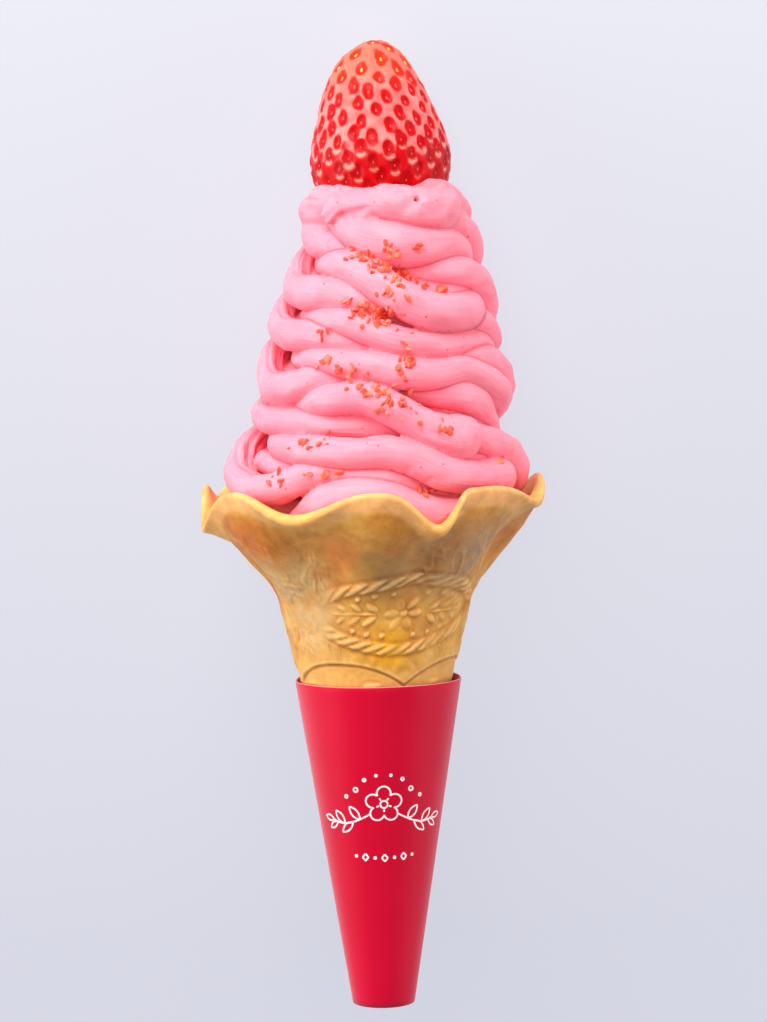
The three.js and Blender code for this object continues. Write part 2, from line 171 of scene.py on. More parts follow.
view = {
    "aim": (2.75, 134.7, 0),  # mm, the middle of the picture
    "distance": 900,
    "elevation": 5.5,  # degrees, from the berry's side
    "roll": 1.0,  # the cone's foot swings right
    "height": 276,  # mm of the cone's length that the picture takes in
}


def aimAt(thing, eye, target, roll=0.0, up=(0, 1, 0)):
    back = (Vector(eye) - Vector(target)).normalized()
    right = Vector(up).cross(back).normalized()
    right = Matrix.Rotation(math.radians(-roll), 3, back) @ right
    above = back.cross(right)
    lay = Matrix.Rotation(math.radians(lying["tilt"]), 3, "X")
    turn = Matrix((lay @ right, lay @ above, lay @ back)).transposed()
    thing.matrix_world = Matrix.Translation(layDownPoint(*eye)) @ turn.to_4x4()


def fromAim(right, up, out):
    # A place in the picture's own directions, in mm from the aim.
    lift = math.radians(view["elevation"])
    x, y, z = view["aim"]
    return (x + right, y + up * math.cos(lift) + out * math.sin(lift),
            z - up * math.sin(lift) + out * math.cos(lift))


camera = bpy.data.objects.new("camera", bpy.data.cameras.new("camera"))
bpy.context.scene.collection.objects.link(camera)
camera.data.sensor_fit = "VERTICAL"
camera.data.sensor_height = 36
camera.data.lens = 36 * view["distance"] / view["height"]
camera.data.clip_start = 0.05
aimAt(camera, fromAim(0, 0, view["distance"]), view["aim"], view["roll"])
bpy.context.scene.camera = camera

studio = {
    # the air is bright round the horizon and dim overhead, where the room is dark
    "air": [(0.0, "#f2f3fb"), (0.35, "#d6d8e2"), (0.8, "#50515a")],
    "airStrength": 0.85,
    # name: place from the aim in mm, width, height, power in W, colour, share seen in gloss
    "lights": {
        "keyPanel": ((-200, 900, 860), 760, 620, 19.4, "#fffaf4", 1.0),
        "leftPanel": ((-800, 60, 300), 380, 900, 6.4, "#fffcfc", 1.0),
        "rightPanel": ((800, -40, 260), 320, 900, 2.9, "#fffcfc", 0.7),
        "frontPanel": ((0, 100, 1500), 900, 900, 7.6, "#fffafa", 0.0),
    },
    "floorColour": "#5c5d62",
    # its own painted light, standing in for the lamps' fall-off, from the foot's end to the berry's end of
    # the picture
    "floorGlow": [(-0.15, "#d1d2df"), (0.15, "#e5e6ef")],
    "glowStrength": 0.875,
    "floorSize": 6.0,  # m
}

world = bpy.data.worlds.new("studioAir")
bpy.context.scene.world = world
world.use_nodes = True
tree = world.node_tree
direction = addNode(tree, "ShaderNodeTexCoord", output="Generated")
height = addNode(tree, "ShaderNodeSeparateXYZ", {"Vector": direction}, output="Z")
tree.links.new(addNode(tree, "ShaderNodeValToRGB", {"Fac": height}, studio["air"]),
               tree.nodes["Background"].inputs["Color"])
tree.nodes["Background"].inputs["Strength"].default_value = studio["airStrength"]
bpy.context.scene.view_settings.view_transform = "Standard"

for name, (place, width, height, power, colour, gloss) in studio["lights"].items():
    lamp = bpy.data.lights.new(name, "AREA")
    lamp.shape = "RECTANGLE"
    lamp.size, lamp.size_y = width * 0.001, height * 0.001
    lamp.energy = power
    lamp.color = linear(colour)[:3]
    lamp.specular_factor = gloss
    panel = bpy.data.objects.new(name, lamp)
    bpy.context.scene.collection.objects.link(panel)
    aimAt(panel, fromAim(*place), view["aim"])

# Matt pale lavender floor with a faint grain, glowing with painted light: a gradient brighter towards the
# berry's end that softens the shadows on it.
material, tree, shader = newMaterial("paleFloorPaintedGlow")
place = addNode(tree, "ShaderNodeTexCoord", output="Object")
grain = addNode(tree, "ShaderNodeTexNoise", {"Vector": place, "Scale": 220.0, "Detail": 4.0})
shader.inputs["Base Color"].default_value = linear(studio["floorColour"])
shader.inputs["Roughness"].default_value = 0.9
shader.inputs["Specular IOR Level"].default_value = 0.2
(low, dim), (high, bright) = studio["floorGlow"]
alongFloor = addNode(tree, "ShaderNodeSeparateXYZ", {"Vector": place}, output="Y")
share = addNode(tree, "ShaderNodeMapRange",
                {"Value": alongFloor, "From Min": low, "From Max": high})
tree.links.new(addNode(tree, "ShaderNodeValToRGB", {"Fac": share}, [(0, dim), (1, bright)]),
               shader.inputs["Emission Color"])
shader.inputs["Emission Strength"].default_value = studio["glowStrength"]
bump = addNode(tree, "ShaderNodeBump", {"Height": grain, "Strength": 0.06, "Distance": 0.0004})
tree.links.new(bump, shader.inputs["Normal"])
half = studio["floorSize"] / 2
mesh = bpy.data.meshes.new("floor")
mesh.from_pydata([(-half, -half, 0), (half, -half, 0), (half, half, 0), (-half, half, 0)], [],
                 [(0, 1, 2, 3)])
mesh.materials.append(material)
floor = bpy.data.objects.new("floor", mesh)
bpy.context.scene.collection.objects.link(floor)
print("camera, lights and floor set")

# Wafer cone.

wafer = {
    "footHeight": 1.6, "footRadius": 6.9, "wall": 2.3,
    "neckHeight": 84.0, "neckRadius": 20.0,
    "ledgeHeight": 96, "ledgeRadius": 22.5,  # at the tops of the scallops
    "flareHeight": 110.7, "flareRadius": 25.9,
    "lipRadius": 45.5, "crestHeight": 143.4, "lipTilt": 0.045,
    "dipSpread": 0.2,  # mm, the lip is this much wider at its dips
    "lipSwell": 1.0,  # mm, the lip is this much thicker in its dips
    "crestSlope": 80, "dipSlope": 12, "flareLead": 9, "flareCurl": 13.5,
    # each crest's angle from the shown side, how far it is lowered, how far the dip after it goes
    # down, how sharply, and how far along that dip is lowest
    "lobes": [(-0.8, 0.9, 10.2, 1.05, 0.65), (34, 1.8, 7.8, 1.1, 0.62), (96, 2.5, 8.0, 1.1, 0.5),
              (150, 2.6, 8.6, 1.2, 0.5), (196, 2.8, 8.0, 1.1, 0.5), (239, 1.0, 4.2, 1.0, 0.4),
              (266, 0, 10.2, 1.2, 0.31), (309, 0, 5.6, 1.0, 0.5)],
    "columns": 590,
}
relief = {
    "scallopCount": 4, "scallopTurn": 20.5, "scallopBase": 90.1, "scallopRise": 5.8,
    "scallopStep": 0.5,  # mm, the upper field stands this far out
    # a wreath of twisted rope round an almond-shaped field
    "ropeMiddle": (17, 110.2), "ropeHalf": (23.5, 9.9), "ropePoint": 1.43, "ropeShear": 0.22,
    "fieldRadius": 24.6,  # mm, takes an angle to a distance across the wreath
    "barTurn": 22, "barEvery": 50, "barHalf": 7, "barHeight": 90.2,  # degrees, and mm up
    "ropeWidth": 3.4, "ropeRise": 1.0, "ropePitch": 3.9,
    "petals": 6, "petalLength": 2.6, "leafLength": 2.5, "markRise": 0.6,
    "veinRise": 0.42,
}


def lipWave(angle):
    # How far the lip lies below its highest crests, and each place's share from crest to dip.
    lobes = wafer["lobes"]
    turned = (np.degrees(angle) - lobes[0][0]) % 360 + lobes[0][0]
    drop, share = np.zeros_like(angle), np.zeros_like(angle)
    for (crest, low, dip, sharp, lean), (after, afterLow, *_) in zip(lobes, lobes[1:] + lobes[:1]):
        end = after if after > crest else after + 360
        here = (turned >= crest) & (turned < end)
        part = ((turned[here] - crest) / (end - crest)) ** (math.log(0.5) / math.log(lean))
        share[here] = ((1 - np.cos(2 * math.pi * part)) / 2) ** sharp
        drop[here] = (low + (afterLow - low) * part) * (1 - share[here]) + dip * share[here]
    return drop, share


def wallLine(angle, flareSteps):
    # The middle of the wall from the neck to the lip: radius and height for each angle.
    drop, share = lipWave(angle)
    half = wafer["wall"] / 2
    start = np.array([wafer["flareRadius"] - half, wafer["flareHeight"]])
    end = np.stack([
        wafer["lipRadius"] + wafer["dipSpread"] * share,
        wafer["crestHeight"] - drop + wafer["lipTilt"] * wafer["lipRadius"] * np.sin(angle),
    ], axis=-1)
    slope = np.radians(wafer["crestSlope"] + (wafer["dipSlope"] - wafer["crestSlope"]) * share)
    lead = np.array([0.3, 1]) / math.hypot(0.3, 1) * wafer["flareLead"]
    curl = np.stack([np.cos(slope), np.sin(slope)], axis=-1) * wafer["flareCurl"]
    t = flareSteps[None, :, None]
    return ((1 - t) ** 3 * start + 3 * (1 - t) ** 2 * t * (start + lead)
            + 3 * (1 - t) * t ** 2 * (end - curl)[:, None] + t ** 3 * end[:, None])


def ropeWreath(across, up):
    # Height of the twisted rope and how far inside the wreath each place is. The wreath is an
    # oval with pointed ends.
    halfAcross, halfUp = relief["ropeHalf"]
    point = relief["ropePoint"]
    ring = np.sqrt(np.abs(across / halfAcross) ** point + (up / halfUp) ** 2)
    turns = np.linspace(-math.pi, math.pi, 361)
    reach = np.sign(np.cos(turns)) * np.abs(np.cos(turns)) ** (2 / point)
    outline = np.stack([halfAcross * reach, halfUp * np.sin(turns)], axis=-1)
    ahead = np.gradient(outline, axis=0)
    ahead /= np.linalg.norm(ahead, axis=1, keepdims=True)
    length = lengthsAlong(outline)
    twists = round(length[-1] / relief["ropePitch"]) / length[-1]
    # from each place near the wreath to the nearest place on it
    near = np.abs(ring - 1) < 0.32
    spots = np.stack([across[near], up[near]], axis=-1)
    nearest = ((spots[:, None] - outline) ** 2).sum(axis=2).argmin(axis=1)
    aside = spots - outline[nearest]
    run = (aside * ahead[nearest]).sum(axis=1)
    off = np.linalg.norm(aside - run[:, None] * ahead[nearest], axis=1)
    off = off * np.sign(ring[near] - 1)
    body = np.clip(1 - (2 * off / relief["ropeWidth"]) ** 2, 0, 1) ** 0.5
    strand = np.abs(np.sin(math.pi * ((length[nearest] + run) * twists + 0.36 * off)))
    rope = np.zeros_like(ring)
    rope[near] = relief["ropeRise"] * body * (0.3 + 0.7 * strand ** 0.7)
    return rope, ring


def wreathMarks():
    # A rosette between two sprigs of leaves, with beads above and below: place across and up,
    # half length, half width and lean.
    marks = [(0, 0, 1.0, 1.0, 0)]
    for i in range(relief["petals"]):
        lean = 2 * math.pi * i / relief["petals"]
        reach = relief["petalLength"] * 1.2
        marks.append((reach * math.cos(lean), reach * math.sin(lean), relief["petalLength"] * 0.75,
                      1.15, lean))
    for side in (-1, 1):
        for i, reach in enumerate((8.3, 12.2, 15.8)):
            for lift in (-1, 1):
                marks.append((side * reach, lift * (1.9 - 0.15 * i),
                              relief["leafLength"] * (0.85 - 0.12 * i), 0.95 - 0.1 * i,
                              side * lift * 0.7))
        marks.append((side * 12.5, 0, 6.5, 0.35, 0))
        for reach, lift in ((4.2, 5.9), (8.4, 5.5), (12.2, 4.6)):
            marks += [(side * reach, lift, 0.75, 0.75, 0), (side * reach, -lift, 0.75, 0.75, 0)]
    return marks


def waferRelief(angle, height, reach):
    # How far the moulded pattern stands out at each place, reach being the way up along the wall.
    degrees = (np.degrees(angle) + 180) % 360 - 180
    turn = 360 / relief["scallopCount"]
    part = ((degrees - relief["scallopTurn"]) % turn) / turn
    arch = relief["scallopBase"] + relief["scallopRise"] * (1 - np.abs(2 * part - 1) ** 2.3)
    upper = smooth(height, arch - 0.1, arch + 0.6)
    groove = np.exp(-((height - arch + 0.1) / 0.35) ** 2)
    out = relief["scallopStep"] * (upper - 1) - 0.35 * groove

    middle, level = relief["ropeMiddle"]
    halfAcross = relief["ropeHalf"][0]
    across, up = np.radians(degrees - middle) * relief["fieldRadius"], height - level
    across = across - relief["ropeShear"] * up
    rope, ring = ropeWreath(across, up)
    spot = np.stack([across, up], axis=-1).reshape(-1, 2)
    wear = 0.5 + 0.5 * smooth(ripple(spot, 16, 5).reshape(across.shape) - 0.04 * across, -1.3, 0.5)
    wear = wear * (1 - 0.9 * np.exp(-((across + halfAcross - 1) / 5) ** 2))
    moulded = rope
    for x, y, long, wide, lean in wreathMarks():
        dx, dy = across - x, up - y
        a = (dx * math.cos(lean) + dy * math.sin(lean)) / long
        b = (-dx * math.sin(lean) + dy * math.cos(lean)) / wide
        moulded = np.maximum(moulded,
                             relief["markRise"] * np.clip(1 - a * a - b * b, 0, 1) ** 0.6)
    # a row of short bars low down, mostly behind the sleeve
    bar = (degrees - relief["barTurn"]) % relief["barEvery"] - relief["barEvery"] / 2
    bar = bar / relief["barHalf"]
    bars = np.clip(1 - bar ** 2 - (height - relief["barHeight"] - 0.1 * bar) ** 2, 0, 1) ** 0.5
    moulded = np.maximum(moulded, 0.5 * bars)
    out = out + moulded * wear
    pattern = out

    # leaf-like veins and creases over the flare, flatter on the shown side's middle
    flat = np.stack([np.radians(degrees) * 30 + 0.3 * reach, reach * 0.7], axis=-1)
    flat = flat.reshape(-1, 2)
    flat = flat + np.stack([ripple(flat, 13, 14), ripple(flat, 13, 15)], axis=-1) * 1.5
    veins = 1 - np.abs(ripple(flat, 6.5, 11)).reshape(height.shape)
    fine = 1 - np.abs(ripple(flat, 3, 12)).reshape(height.shape)
    ridged = np.clip(veins, 0, 1) ** 3 + 0.5 * np.clip(fine, 0, 1) ** 3
    outside = smooth(ring, 1.05, 1.25) * upper
    flare = smooth(height, 95, 102) * (1 - 0.85 * smooth(height, 127, 134))
    side = 0.12 + 0.88 * smooth(degrees, 14, 28) + 0.75 * smooth(-degrees, 16, 34)
    veined = ridged * outside * flare * side * (1 - 0.8 * smooth(np.abs(degrees), 56, 78))
    out = out + relief["veinRise"] * veined
    return out + 0.08 * ripple(flat, 7, 13).reshape(height.shape) * upper, pattern, veined


def blurred(grid, rows, columns):
    # A box blur over a grid whose second direction goes round.
    for axis, reach in ((0, rows), (1, columns)):
        total = 0
        for step in range(-reach, reach + 1):
            if axis:
                total = total + np.roll(grid, step, axis=1)
            else:
                index = np.clip(np.arange(len(grid)) + step, 0, len(grid) - 1)
                total = total + grid[index]
        grid = total / (2 * reach + 1)
    return grid


def radiusBelowFlare(height):
    return table(height, [(wafer["neckHeight"], wafer["neckRadius"]),
                          (wafer["ledgeHeight"], wafer["ledgeRadius"]),
                          (wafer["flareHeight"], wafer["flareRadius"])])


def buildWafer():
    columns = wafer["columns"]
    turnStep = np.linspace(0, 2 * math.pi, columns, endpoint=False)
    # columns crowd towards the shown side, where the pattern is
    angle = turnStep - 0.5 * np.sin(turnStep)
    half = wafer["wall"] / 2
    neck = wafer["neckHeight"]
    flare = wallLine(angle, np.concatenate([np.linspace(0, 0.42, 29)[:-1],
                                            np.linspace(0.42, 1, 30)]))
    foot = wafer["footHeight"] + half
    body = [(foot + s * (neck - foot), wafer["footRadius"]
             + s * (wafer["neckRadius"] - wafer["footRadius"])) for s in (0, 0.3, 0.6, 0.9)]
    body += [(h, radiusBelowFlare(h))
             for h in np.arange(neck + 0.4, 110.5, 0.43)]
    body = np.stack([np.broadcast_to([radius - half, height], (columns, 2))
                     for height, radius in body], axis=1)
    line = np.concatenate([body, flare], axis=1)
    along = np.gradient(line, axis=1)
    along /= np.linalg.norm(along, axis=2, keepdims=True)
    normal = np.stack([along[..., 1], -along[..., 0]], axis=-1)
    count = line.shape[1]
    lengths = np.cumsum(np.linalg.norm(np.diff(line, axis=1, prepend=line[:, :1]), axis=2), axis=1)
    fromLip = lengths[:, -1:] - lengths
    dip = lipWave(angle)[1]
    # the lip is thick in its dips on the shown side, and thin at the sides
    front = smooth(np.cos(angle), 0.1, 0.7)
    swell = (wafer["lipSwell"] * (0.1 + 0.9 * dip) + 0.4) * front - 0.4
    swell = swell[:, None] * (1 - smooth(fromLip, 1.2, 6.0))
    stand, pattern, veined = waferRelief(np.broadcast_to(angle[:, None], line.shape[:2]),
                                         line[..., 1], lengths)
    stand = stand * smooth(fromLip, 3, 7) * smooth(line[..., 1], neck, neck + 1.5)
    outside = line + normal * (half + swell + stand)[..., None]
    insideRows = np.unique(np.concatenate([np.arange(0, 4), np.arange(4, count - 16, 8),
                                           np.arange(count - 16, count, 2)]))[::-1]
    inside = (line - normal * half)[:, insideRows]
    tip, outward = line[:, -1] + normal[:, -1] * swell[:, -1:] / 2, normal[:, -1]
    forward = np.stack([-outward[:, 1], outward[:, 0]], axis=-1)
    bead = half + swell[:, -1:] / 2
    edge = np.stack([tip + bead * (outward * math.cos(a) + forward * math.sin(a))
                     for a in np.linspace(0, math.pi, 11)[1:-1]], axis=1)
    closeOut = np.broadcast_to([0.02, wafer["footHeight"] + 0.2], (columns, 1, 2))
    closeIn = np.broadcast_to([0.02, wafer["footHeight"] + wafer["wall"]], (columns, 1, 2))
    rounded = np.concatenate([closeOut, outside, edge, inside, closeIn], axis=1)
    rows = rounded.shape[1]
    points = np.stack([rounded[..., 0] * np.sin(angle)[:, None], rounded[..., 1],
                       rounded[..., 0] * np.cos(angle)[:, None]], axis=-1)
    points = points.transpose(1, 0, 2).reshape(-1, 3)
    shownRows = slice(1, 1 + count)
    # what stands out from its surroundings, and what lies back
    raised = np.zeros((rows, columns))
    raised[shownRows] = pattern.T - blurred(pattern.T, 3, 3)
    veins = np.zeros((rows, columns))
    veins[shownRows] = veined.T
    edgeAway = np.zeros((rows, columns))
    edgeAway[shownRows] = (fromLip * (1 - 0.5 * dip[:, None])).T
    edgeAway[-1 - len(insideRows):-1] = -fromLip.T[insideRows]
    share = np.broadcast_to(dip, (rows, columns))
    degrees = np.degrees((angle + math.pi) % (2 * math.pi) - math.pi)
    faces = [face[::-1] for face in gridFaces(rows, columns)]
    piece = makePiece("waferCone", points, faces, wheatWafer(),
                      {"raised": raised, "veins": veins, "fromLip": edgeAway, "dip": share,
                       "heightUp": points[:, 1], "turnRound": np.tile(degrees, rows)})
    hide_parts("wafer_cone")
    print("wafer:", len(faces), "faces")


def wheatWafer():
    # Wheat wafer, baked in a mould: satin and floury, toasted amber where it met the iron, with
    # the lip paler; painted shade browns the pattern's grooves, a painted highlight pales its raised tops
    # and veins.
    material, tree, shader = newMaterial("wheatWaferBaked")
    place = addNode(tree, "ShaderNodeTexCoord", output="Object")
    height, turnRound, fromLip, dip, veins, raised = (
        addNode(tree, "ShaderNodeAttribute", {"attribute_name": name}, output="Fac")
        for name in ("heightUp", "turnRound", "fromLip", "dip", "veins", "raised"))
    broad = addNode(tree, "ShaderNodeTexNoise",
                    {"Vector": place, "Scale": 42.0, "Detail": 3.0, "Roughness": 0.5})
    blots = addNode(tree, "ShaderNodeTexNoise", {"Vector": place, "Scale": 130.0, "Detail": 4.0,
                                                "Roughness": 0.6, "Distortion": 0.4})
    soft = {"interpolation_type": "SMOOTHSTEP"}
    blend = {"data_type": "RGBA"}

    def patch(middle, spread, level, rise):
        # a soft spot round an angle and a height, broken up by the blots
        shares = []
        for value, centre, reach in ((turnRound, middle, spread), (height, level, rise)):
            away = addNode(tree, "ShaderNodeMath", {"operation": "SUBTRACT", 0: value, 1: centre})
            away = addNode(tree, "ShaderNodeMath", {"operation": "ABSOLUTE", 0: away})
            shares.append(addNode(tree, "ShaderNodeMapRange", {
                **soft, "Value": away, "From Min": 0.15 * reach, "From Max": reach,
                "To Min": 1.0, "To Max": 0.0}))
        both = addNode(tree, "ShaderNodeMath", {"operation": "MULTIPLY", 0: shares[0],
                                                1: shares[1]})
        broken = addNode(tree, "ShaderNodeValToRGB", {"Fac": blots}, [(0.34, 0.3), (0.56, 1.0)])
        return addNode(tree, "ShaderNodeMath", {"operation": "MULTIPLY", 0: both, 1: broken})

    colour = addNode(tree, "ShaderNodeValToRGB", {"Fac": blots}, [
        (0.30, "#cc8c3c"), (0.46, "#d69a44"), (0.58, "#dea64c"), (0.72, "#e4b05e")])
    # toasted under the lip, in patches
    band = addNode(tree, "ShaderNodeMapRange", {
        **soft, "Value": fromLip, "From Min": 2.2, "From Max": 6.0})
    below = addNode(tree, "ShaderNodeMapRange", {
        **soft, "Value": fromLip, "From Min": 12.0, "From Max": 26.0, "To Min": 1.0,
        "To Max": 0.0})
    band = addNode(tree, "ShaderNodeMath", {"operation": "MULTIPLY", 0: band, 1: below})
    patches = addNode(tree, "ShaderNodeValToRGB", {"Fac": broad}, [(0.36, 1.0), (0.62, 0.4)])
    band = addNode(tree, "ShaderNodeMath", {"operation": "MULTIPLY", 0: band, 1: patches})
    toast = addNode(tree, "ShaderNodeValToRGB", {"Fac": blots}, [
        (0.34, "#ac5e1c"), (0.5, "#c27426"), (0.66, "#cf8b38")])
    colour = addNode(tree, "ShaderNodeMix", {**blend, 0: band, 6: colour, 7: toast}, output=2)
    # greyer brown over the right flare, a painted sheen paler down the left, yolky low on the shown side
    for share, tint in ((patch(40, 34, 125, 15), "#b08a62"), (patch(-46, 34, 113, 22), "#cfa870"),
                        (patch(6, 20, 122, 12), "#a8804c"), (patch(-14, 12, 127, 7), "#cc7834"),
                        (patch(-50, 18, 130, 10), "#c86c14"), (patch(8, 26, 100, 9), "#e2a01e")):
        colour = addNode(tree, "ShaderNodeMix", {**blend, 0: share, 6: colour, 7: linear(tint)},
                         output=2)
    # the smooth field below the scallops
    low = addNode(tree, "ShaderNodeMapRange", {
        **soft, "Value": height, "From Min": 96.0, "From Max": 92.0})
    colour = addNode(tree, "ShaderNodeMix", {**blend, 0: low, 6: colour, 7: linear("#dfa455")},
                     output=2)
    # painted shade: brown in the pattern's grooves; painted highlight: pale on the raised tops and along
    # the veins
    depth = addNode(tree, "ShaderNodeMapRange", {
        **soft, "Value": raised, "From Min": -0.38, "From Max": 0.38})
    tone = addNode(tree, "ShaderNodeValToRGB", {"Fac": depth}, [
        (0.0, "#b0743c"), (0.28, "#dfb080"), (0.45, "#ffffff"), (1.0, "#ffffff")])
    colour = addNode(tree, "ShaderNodeMix",
                     {**blend, "blend_type": "MULTIPLY", 0: 0.42, 6: colour, 7: tone}, output=2)
    raisedHighlight = addNode(tree, "ShaderNodeMapRange", {
        **soft, "Value": depth, "From Min": 0.55, "From Max": 1.0, "To Min": 0.0, "To Max": 0.5})
    veinHighlight = addNode(tree, "ShaderNodeMapRange", {
        **soft, "Value": veins, "From Min": 0.25, "From Max": 1.0, "To Min": 0.0, "To Max": 0.22})
    for share, tint in ((raisedHighlight, "#f6cf8c"), (veinHighlight, "#e6c28c")):
        colour = addNode(tree, "ShaderNodeMix", {**blend, 0: share, 6: colour, 7: linear(tint)},
                         output=2)
    # the lip, toasted gold and a little darker in the dips, and the inside
    speck = addNode(tree, "ShaderNodeValToRGB", {"Fac": blots}, [(0.3, 0.78), (0.55, 1.0)])
    rim = addNode(tree, "ShaderNodeValToRGB", {"Fac": dip}, [(0.15, "#ecac6a"), (0.85, "#edae5e")])
    rim = addNode(tree, "ShaderNodeMix",
                  {**blend, "blend_type": "MULTIPLY", 0: 1.0, 6: rim, 7: speck}, output=2)
    lip = addNode(tree, "ShaderNodeMapRange", {
        **soft, "Value": fromLip, "From Min": 4.6, "From Max": 2.4, "To Min": 0.0, "To Max": 0.9})
    colour = addNode(tree, "ShaderNodeMix", {**blend, 0: lip, 6: colour, 7: rim}, output=2)
    within = addNode(tree, "ShaderNodeMapRange", {
        **soft, "Value": fromLip, "From Min": -1.0, "From Max": -8.0})
    colour = addNode(tree, "ShaderNodeMix", {**blend, 0: within, 6: colour, 7: linear("#efae62")},
                     output=2)
    flour = addNode(tree, "ShaderNodeTexNoise", {"Vector": place, "Scale": 330.0, "Detail": 5.0,
                                                "Roughness": 0.65})
    flour = addNode(tree, "ShaderNodeValToRGB", {"Fac": flour}, [(0.36, 0.8), (0.58, 1.0)])
    colour = addNode(tree, "ShaderNodeMix",
                     {**blend, "blend_type": "MULTIPLY", 0: 0.8, 6: colour, 7: flour}, output=2)
    tree.links.new(colour, shader.inputs["Base Color"])
    shader.inputs["Roughness"].default_value = 0.55
    shader.inputs["IOR"].default_value = 1.45
    shader.inputs["Specular IOR Level"].default_value = 0.3
    shader.inputs["Subsurface Weight"].default_value = 0.1
    shader.inputs["Subsurface Radius"].default_value = (1.0, 0.45, 0.2)
    shader.inputs["Subsurface Scale"].default_value = 0.002
    pores = addNode(tree, "ShaderNodeTexNoise",
                    {"Vector": place, "Scale": 800.0, "Detail": 3.0})  # crumb of about 1.2 mm
    bump = addNode(tree, "ShaderNodeBump", {"Height": pores, "Strength": 0.4,
                                            "Distance": 0.00014})
    tree.links.new(bump, shader.inputs["Normal"])
    return material


buildWafer()
print("wafer cone built")

# Paper sleeve.

sleeve = {
    "footRadius": 8.5, "topRadius": 22.6, "height": 89.2, "paper": 0.45,
    "shift": 0.5,  # mm, it sits a little to the right of the wafer
    "slant": 0.004,  # the top edge rises to the right
    "arch": 1.0,  # mm, and in the middle
    "lapAngle": 205, "lapWidth": 42,
    "columns": 260, "rows": 60,
}


def sleeveRadius(height):
    return sleeve["footRadius"] + (sleeve["topRadius"] - sleeve["footRadius"]) \
        * height / sleeve["height"]


def sleeveTop(angle):
    return sleeve["height"] + sleeve["slant"] * sleeve["topRadius"] * np.sin(angle) \
        + sleeve["arch"] * np.clip(np.cos(angle), 0, 1) - 0.4


def sleeveSkin(angle, height):
    # The paper's outer face, a little out of round towards its open end.
    wave = 0.12 * np.cos(3 * angle + 0.7) + 0.08 * np.cos(5 * angle + 2.1)
    return sleeveRadius(height) + wave * height / sleeve["height"]


def coatedPaper():
    # Coated paper, offset printed in solid red: an even colour under a clear satin varnish.
    material, tree, shader = newMaterial("coatedPaperPrinted")
    place = addNode(tree, "ShaderNodeTexCoord", output="Object")
    tone = addNode(tree, "ShaderNodeTexNoise", {"Vector": place, "Scale": 30.0, "Detail": 2.0})
    colour = addNode(tree, "ShaderNodeValToRGB", {"Fac": tone},
                     [(0.3, "#b80026"), (0.7, "#c2002c")])
    cutEdge = addNode(tree, "ShaderNodeAttribute", {"attribute_name": "cutEdge"}, output="Fac")
    colour = addNode(tree, "ShaderNodeMix", {"data_type": "RGBA", 0: cutEdge, 6: colour,
                                             7: linear("#de7c94")}, output=2)
    tree.links.new(colour, shader.inputs["Base Color"])
    shader.inputs["Roughness"].default_value = 0.5
    shader.inputs["Specular IOR Level"].default_value = 0.05
    shader.inputs["Coat Weight"].default_value = 0.1
    shader.inputs["Coat IOR"].default_value = 1.45
    shader.inputs["Coat Roughness"].default_value = 0.38
    # the paper's fine nap pales towards its edges
    shader.inputs["Sheen Weight"].default_value = 0.5
    shader.inputs["Sheen Roughness"].default_value = 0.4
    shader.inputs["Sheen Tint"].default_value = linear("#ffc4d0")
    fibre = addNode(tree, "ShaderNodeTexNoise", {"Vector": place, "Scale": 700.0, "Detail": 3.0})
    bump = addNode(tree, "ShaderNodeBump", {"Height": fibre, "Strength": 0.18,
                                            "Distance": 0.00008})
    tree.links.new(bump, shader.inputs["Normal"])
    return material


def buildSleeve():
    columns, rows, paper = sleeve["columns"], sleeve["rows"], sleeve["paper"]
    angle = np.linspace(0, 2 * math.pi, columns, endpoint=False)
    degrees = np.degrees(angle)
    lapStart, lapEnd = sleeve["lapAngle"], sleeve["lapAngle"] + sleeve["lapWidth"]
    lapped = smooth(degrees, lapStart - 0.7, lapStart + 0.7) * (1 - smooth(degrees, lapEnd,
                                                                          lapEnd + 14))
    top = sleeveTop(angle)
    rings, edges = [], []
    share = np.linspace(0, 1, rows)
    for part in share:
        height = top * part
        rings.append((sleeveSkin(angle, height) + paper * lapped, height))
        edges.append(0.0)
    for turn in (math.pi / 4, math.pi / 2, 3 * math.pi / 4):
        rings.append((sleeveSkin(angle, top) + paper * lapped
                      - paper / 2 * (1 - math.cos(turn)), top + paper / 2 * math.sin(turn)))
        edges.append(1.0)
    for part in share[::-1]:
        height = top * part
        rings.append((sleeveSkin(angle, height) - paper, height))
        edges.append(0.0)
    rings.append(rings[0])
    points = np.stack([np.stack([sleeve["shift"] + r * np.sin(angle), h, r * np.cos(angle)],
                                axis=-1) for r, h in rings[:-1]])
    faces = [face[::-1] for face in closedFaces(len(rings) - 1, columns)]
    piece = makePiece("paperSleeve", points.reshape(-1, 3), faces, coatedPaper(),
                      {"cutEdge": np.repeat(edges, columns)})
    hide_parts("paper_sleeve")


buildSleeve()
print("paper sleeve built")

blossomPrint = {
    "middle": 54.5, "across": 1.0,  # mm, its height on the sleeve and how far right
    "line": 0.46, "ink": 0.03,  # mm, line width and how far the ink stands out
    "blossomRadius": 5.0, "leafLength": 5.0, "leafWidth": 2.1,
    "stem": 15.0,  # mm, each sprig's reach
}


def printInk():
    # White offset ink over the red: flat and faintly pink where the paper shows through.
    material, _, shader = newMaterial("offsetInkWhite")
    shader.inputs["Base Color"].default_value = linear("#fbdfe4")
    shader.inputs["Roughness"].default_value = 0.55
    shader.inputs["Specular IOR Level"].default_value = 0.2
    return material


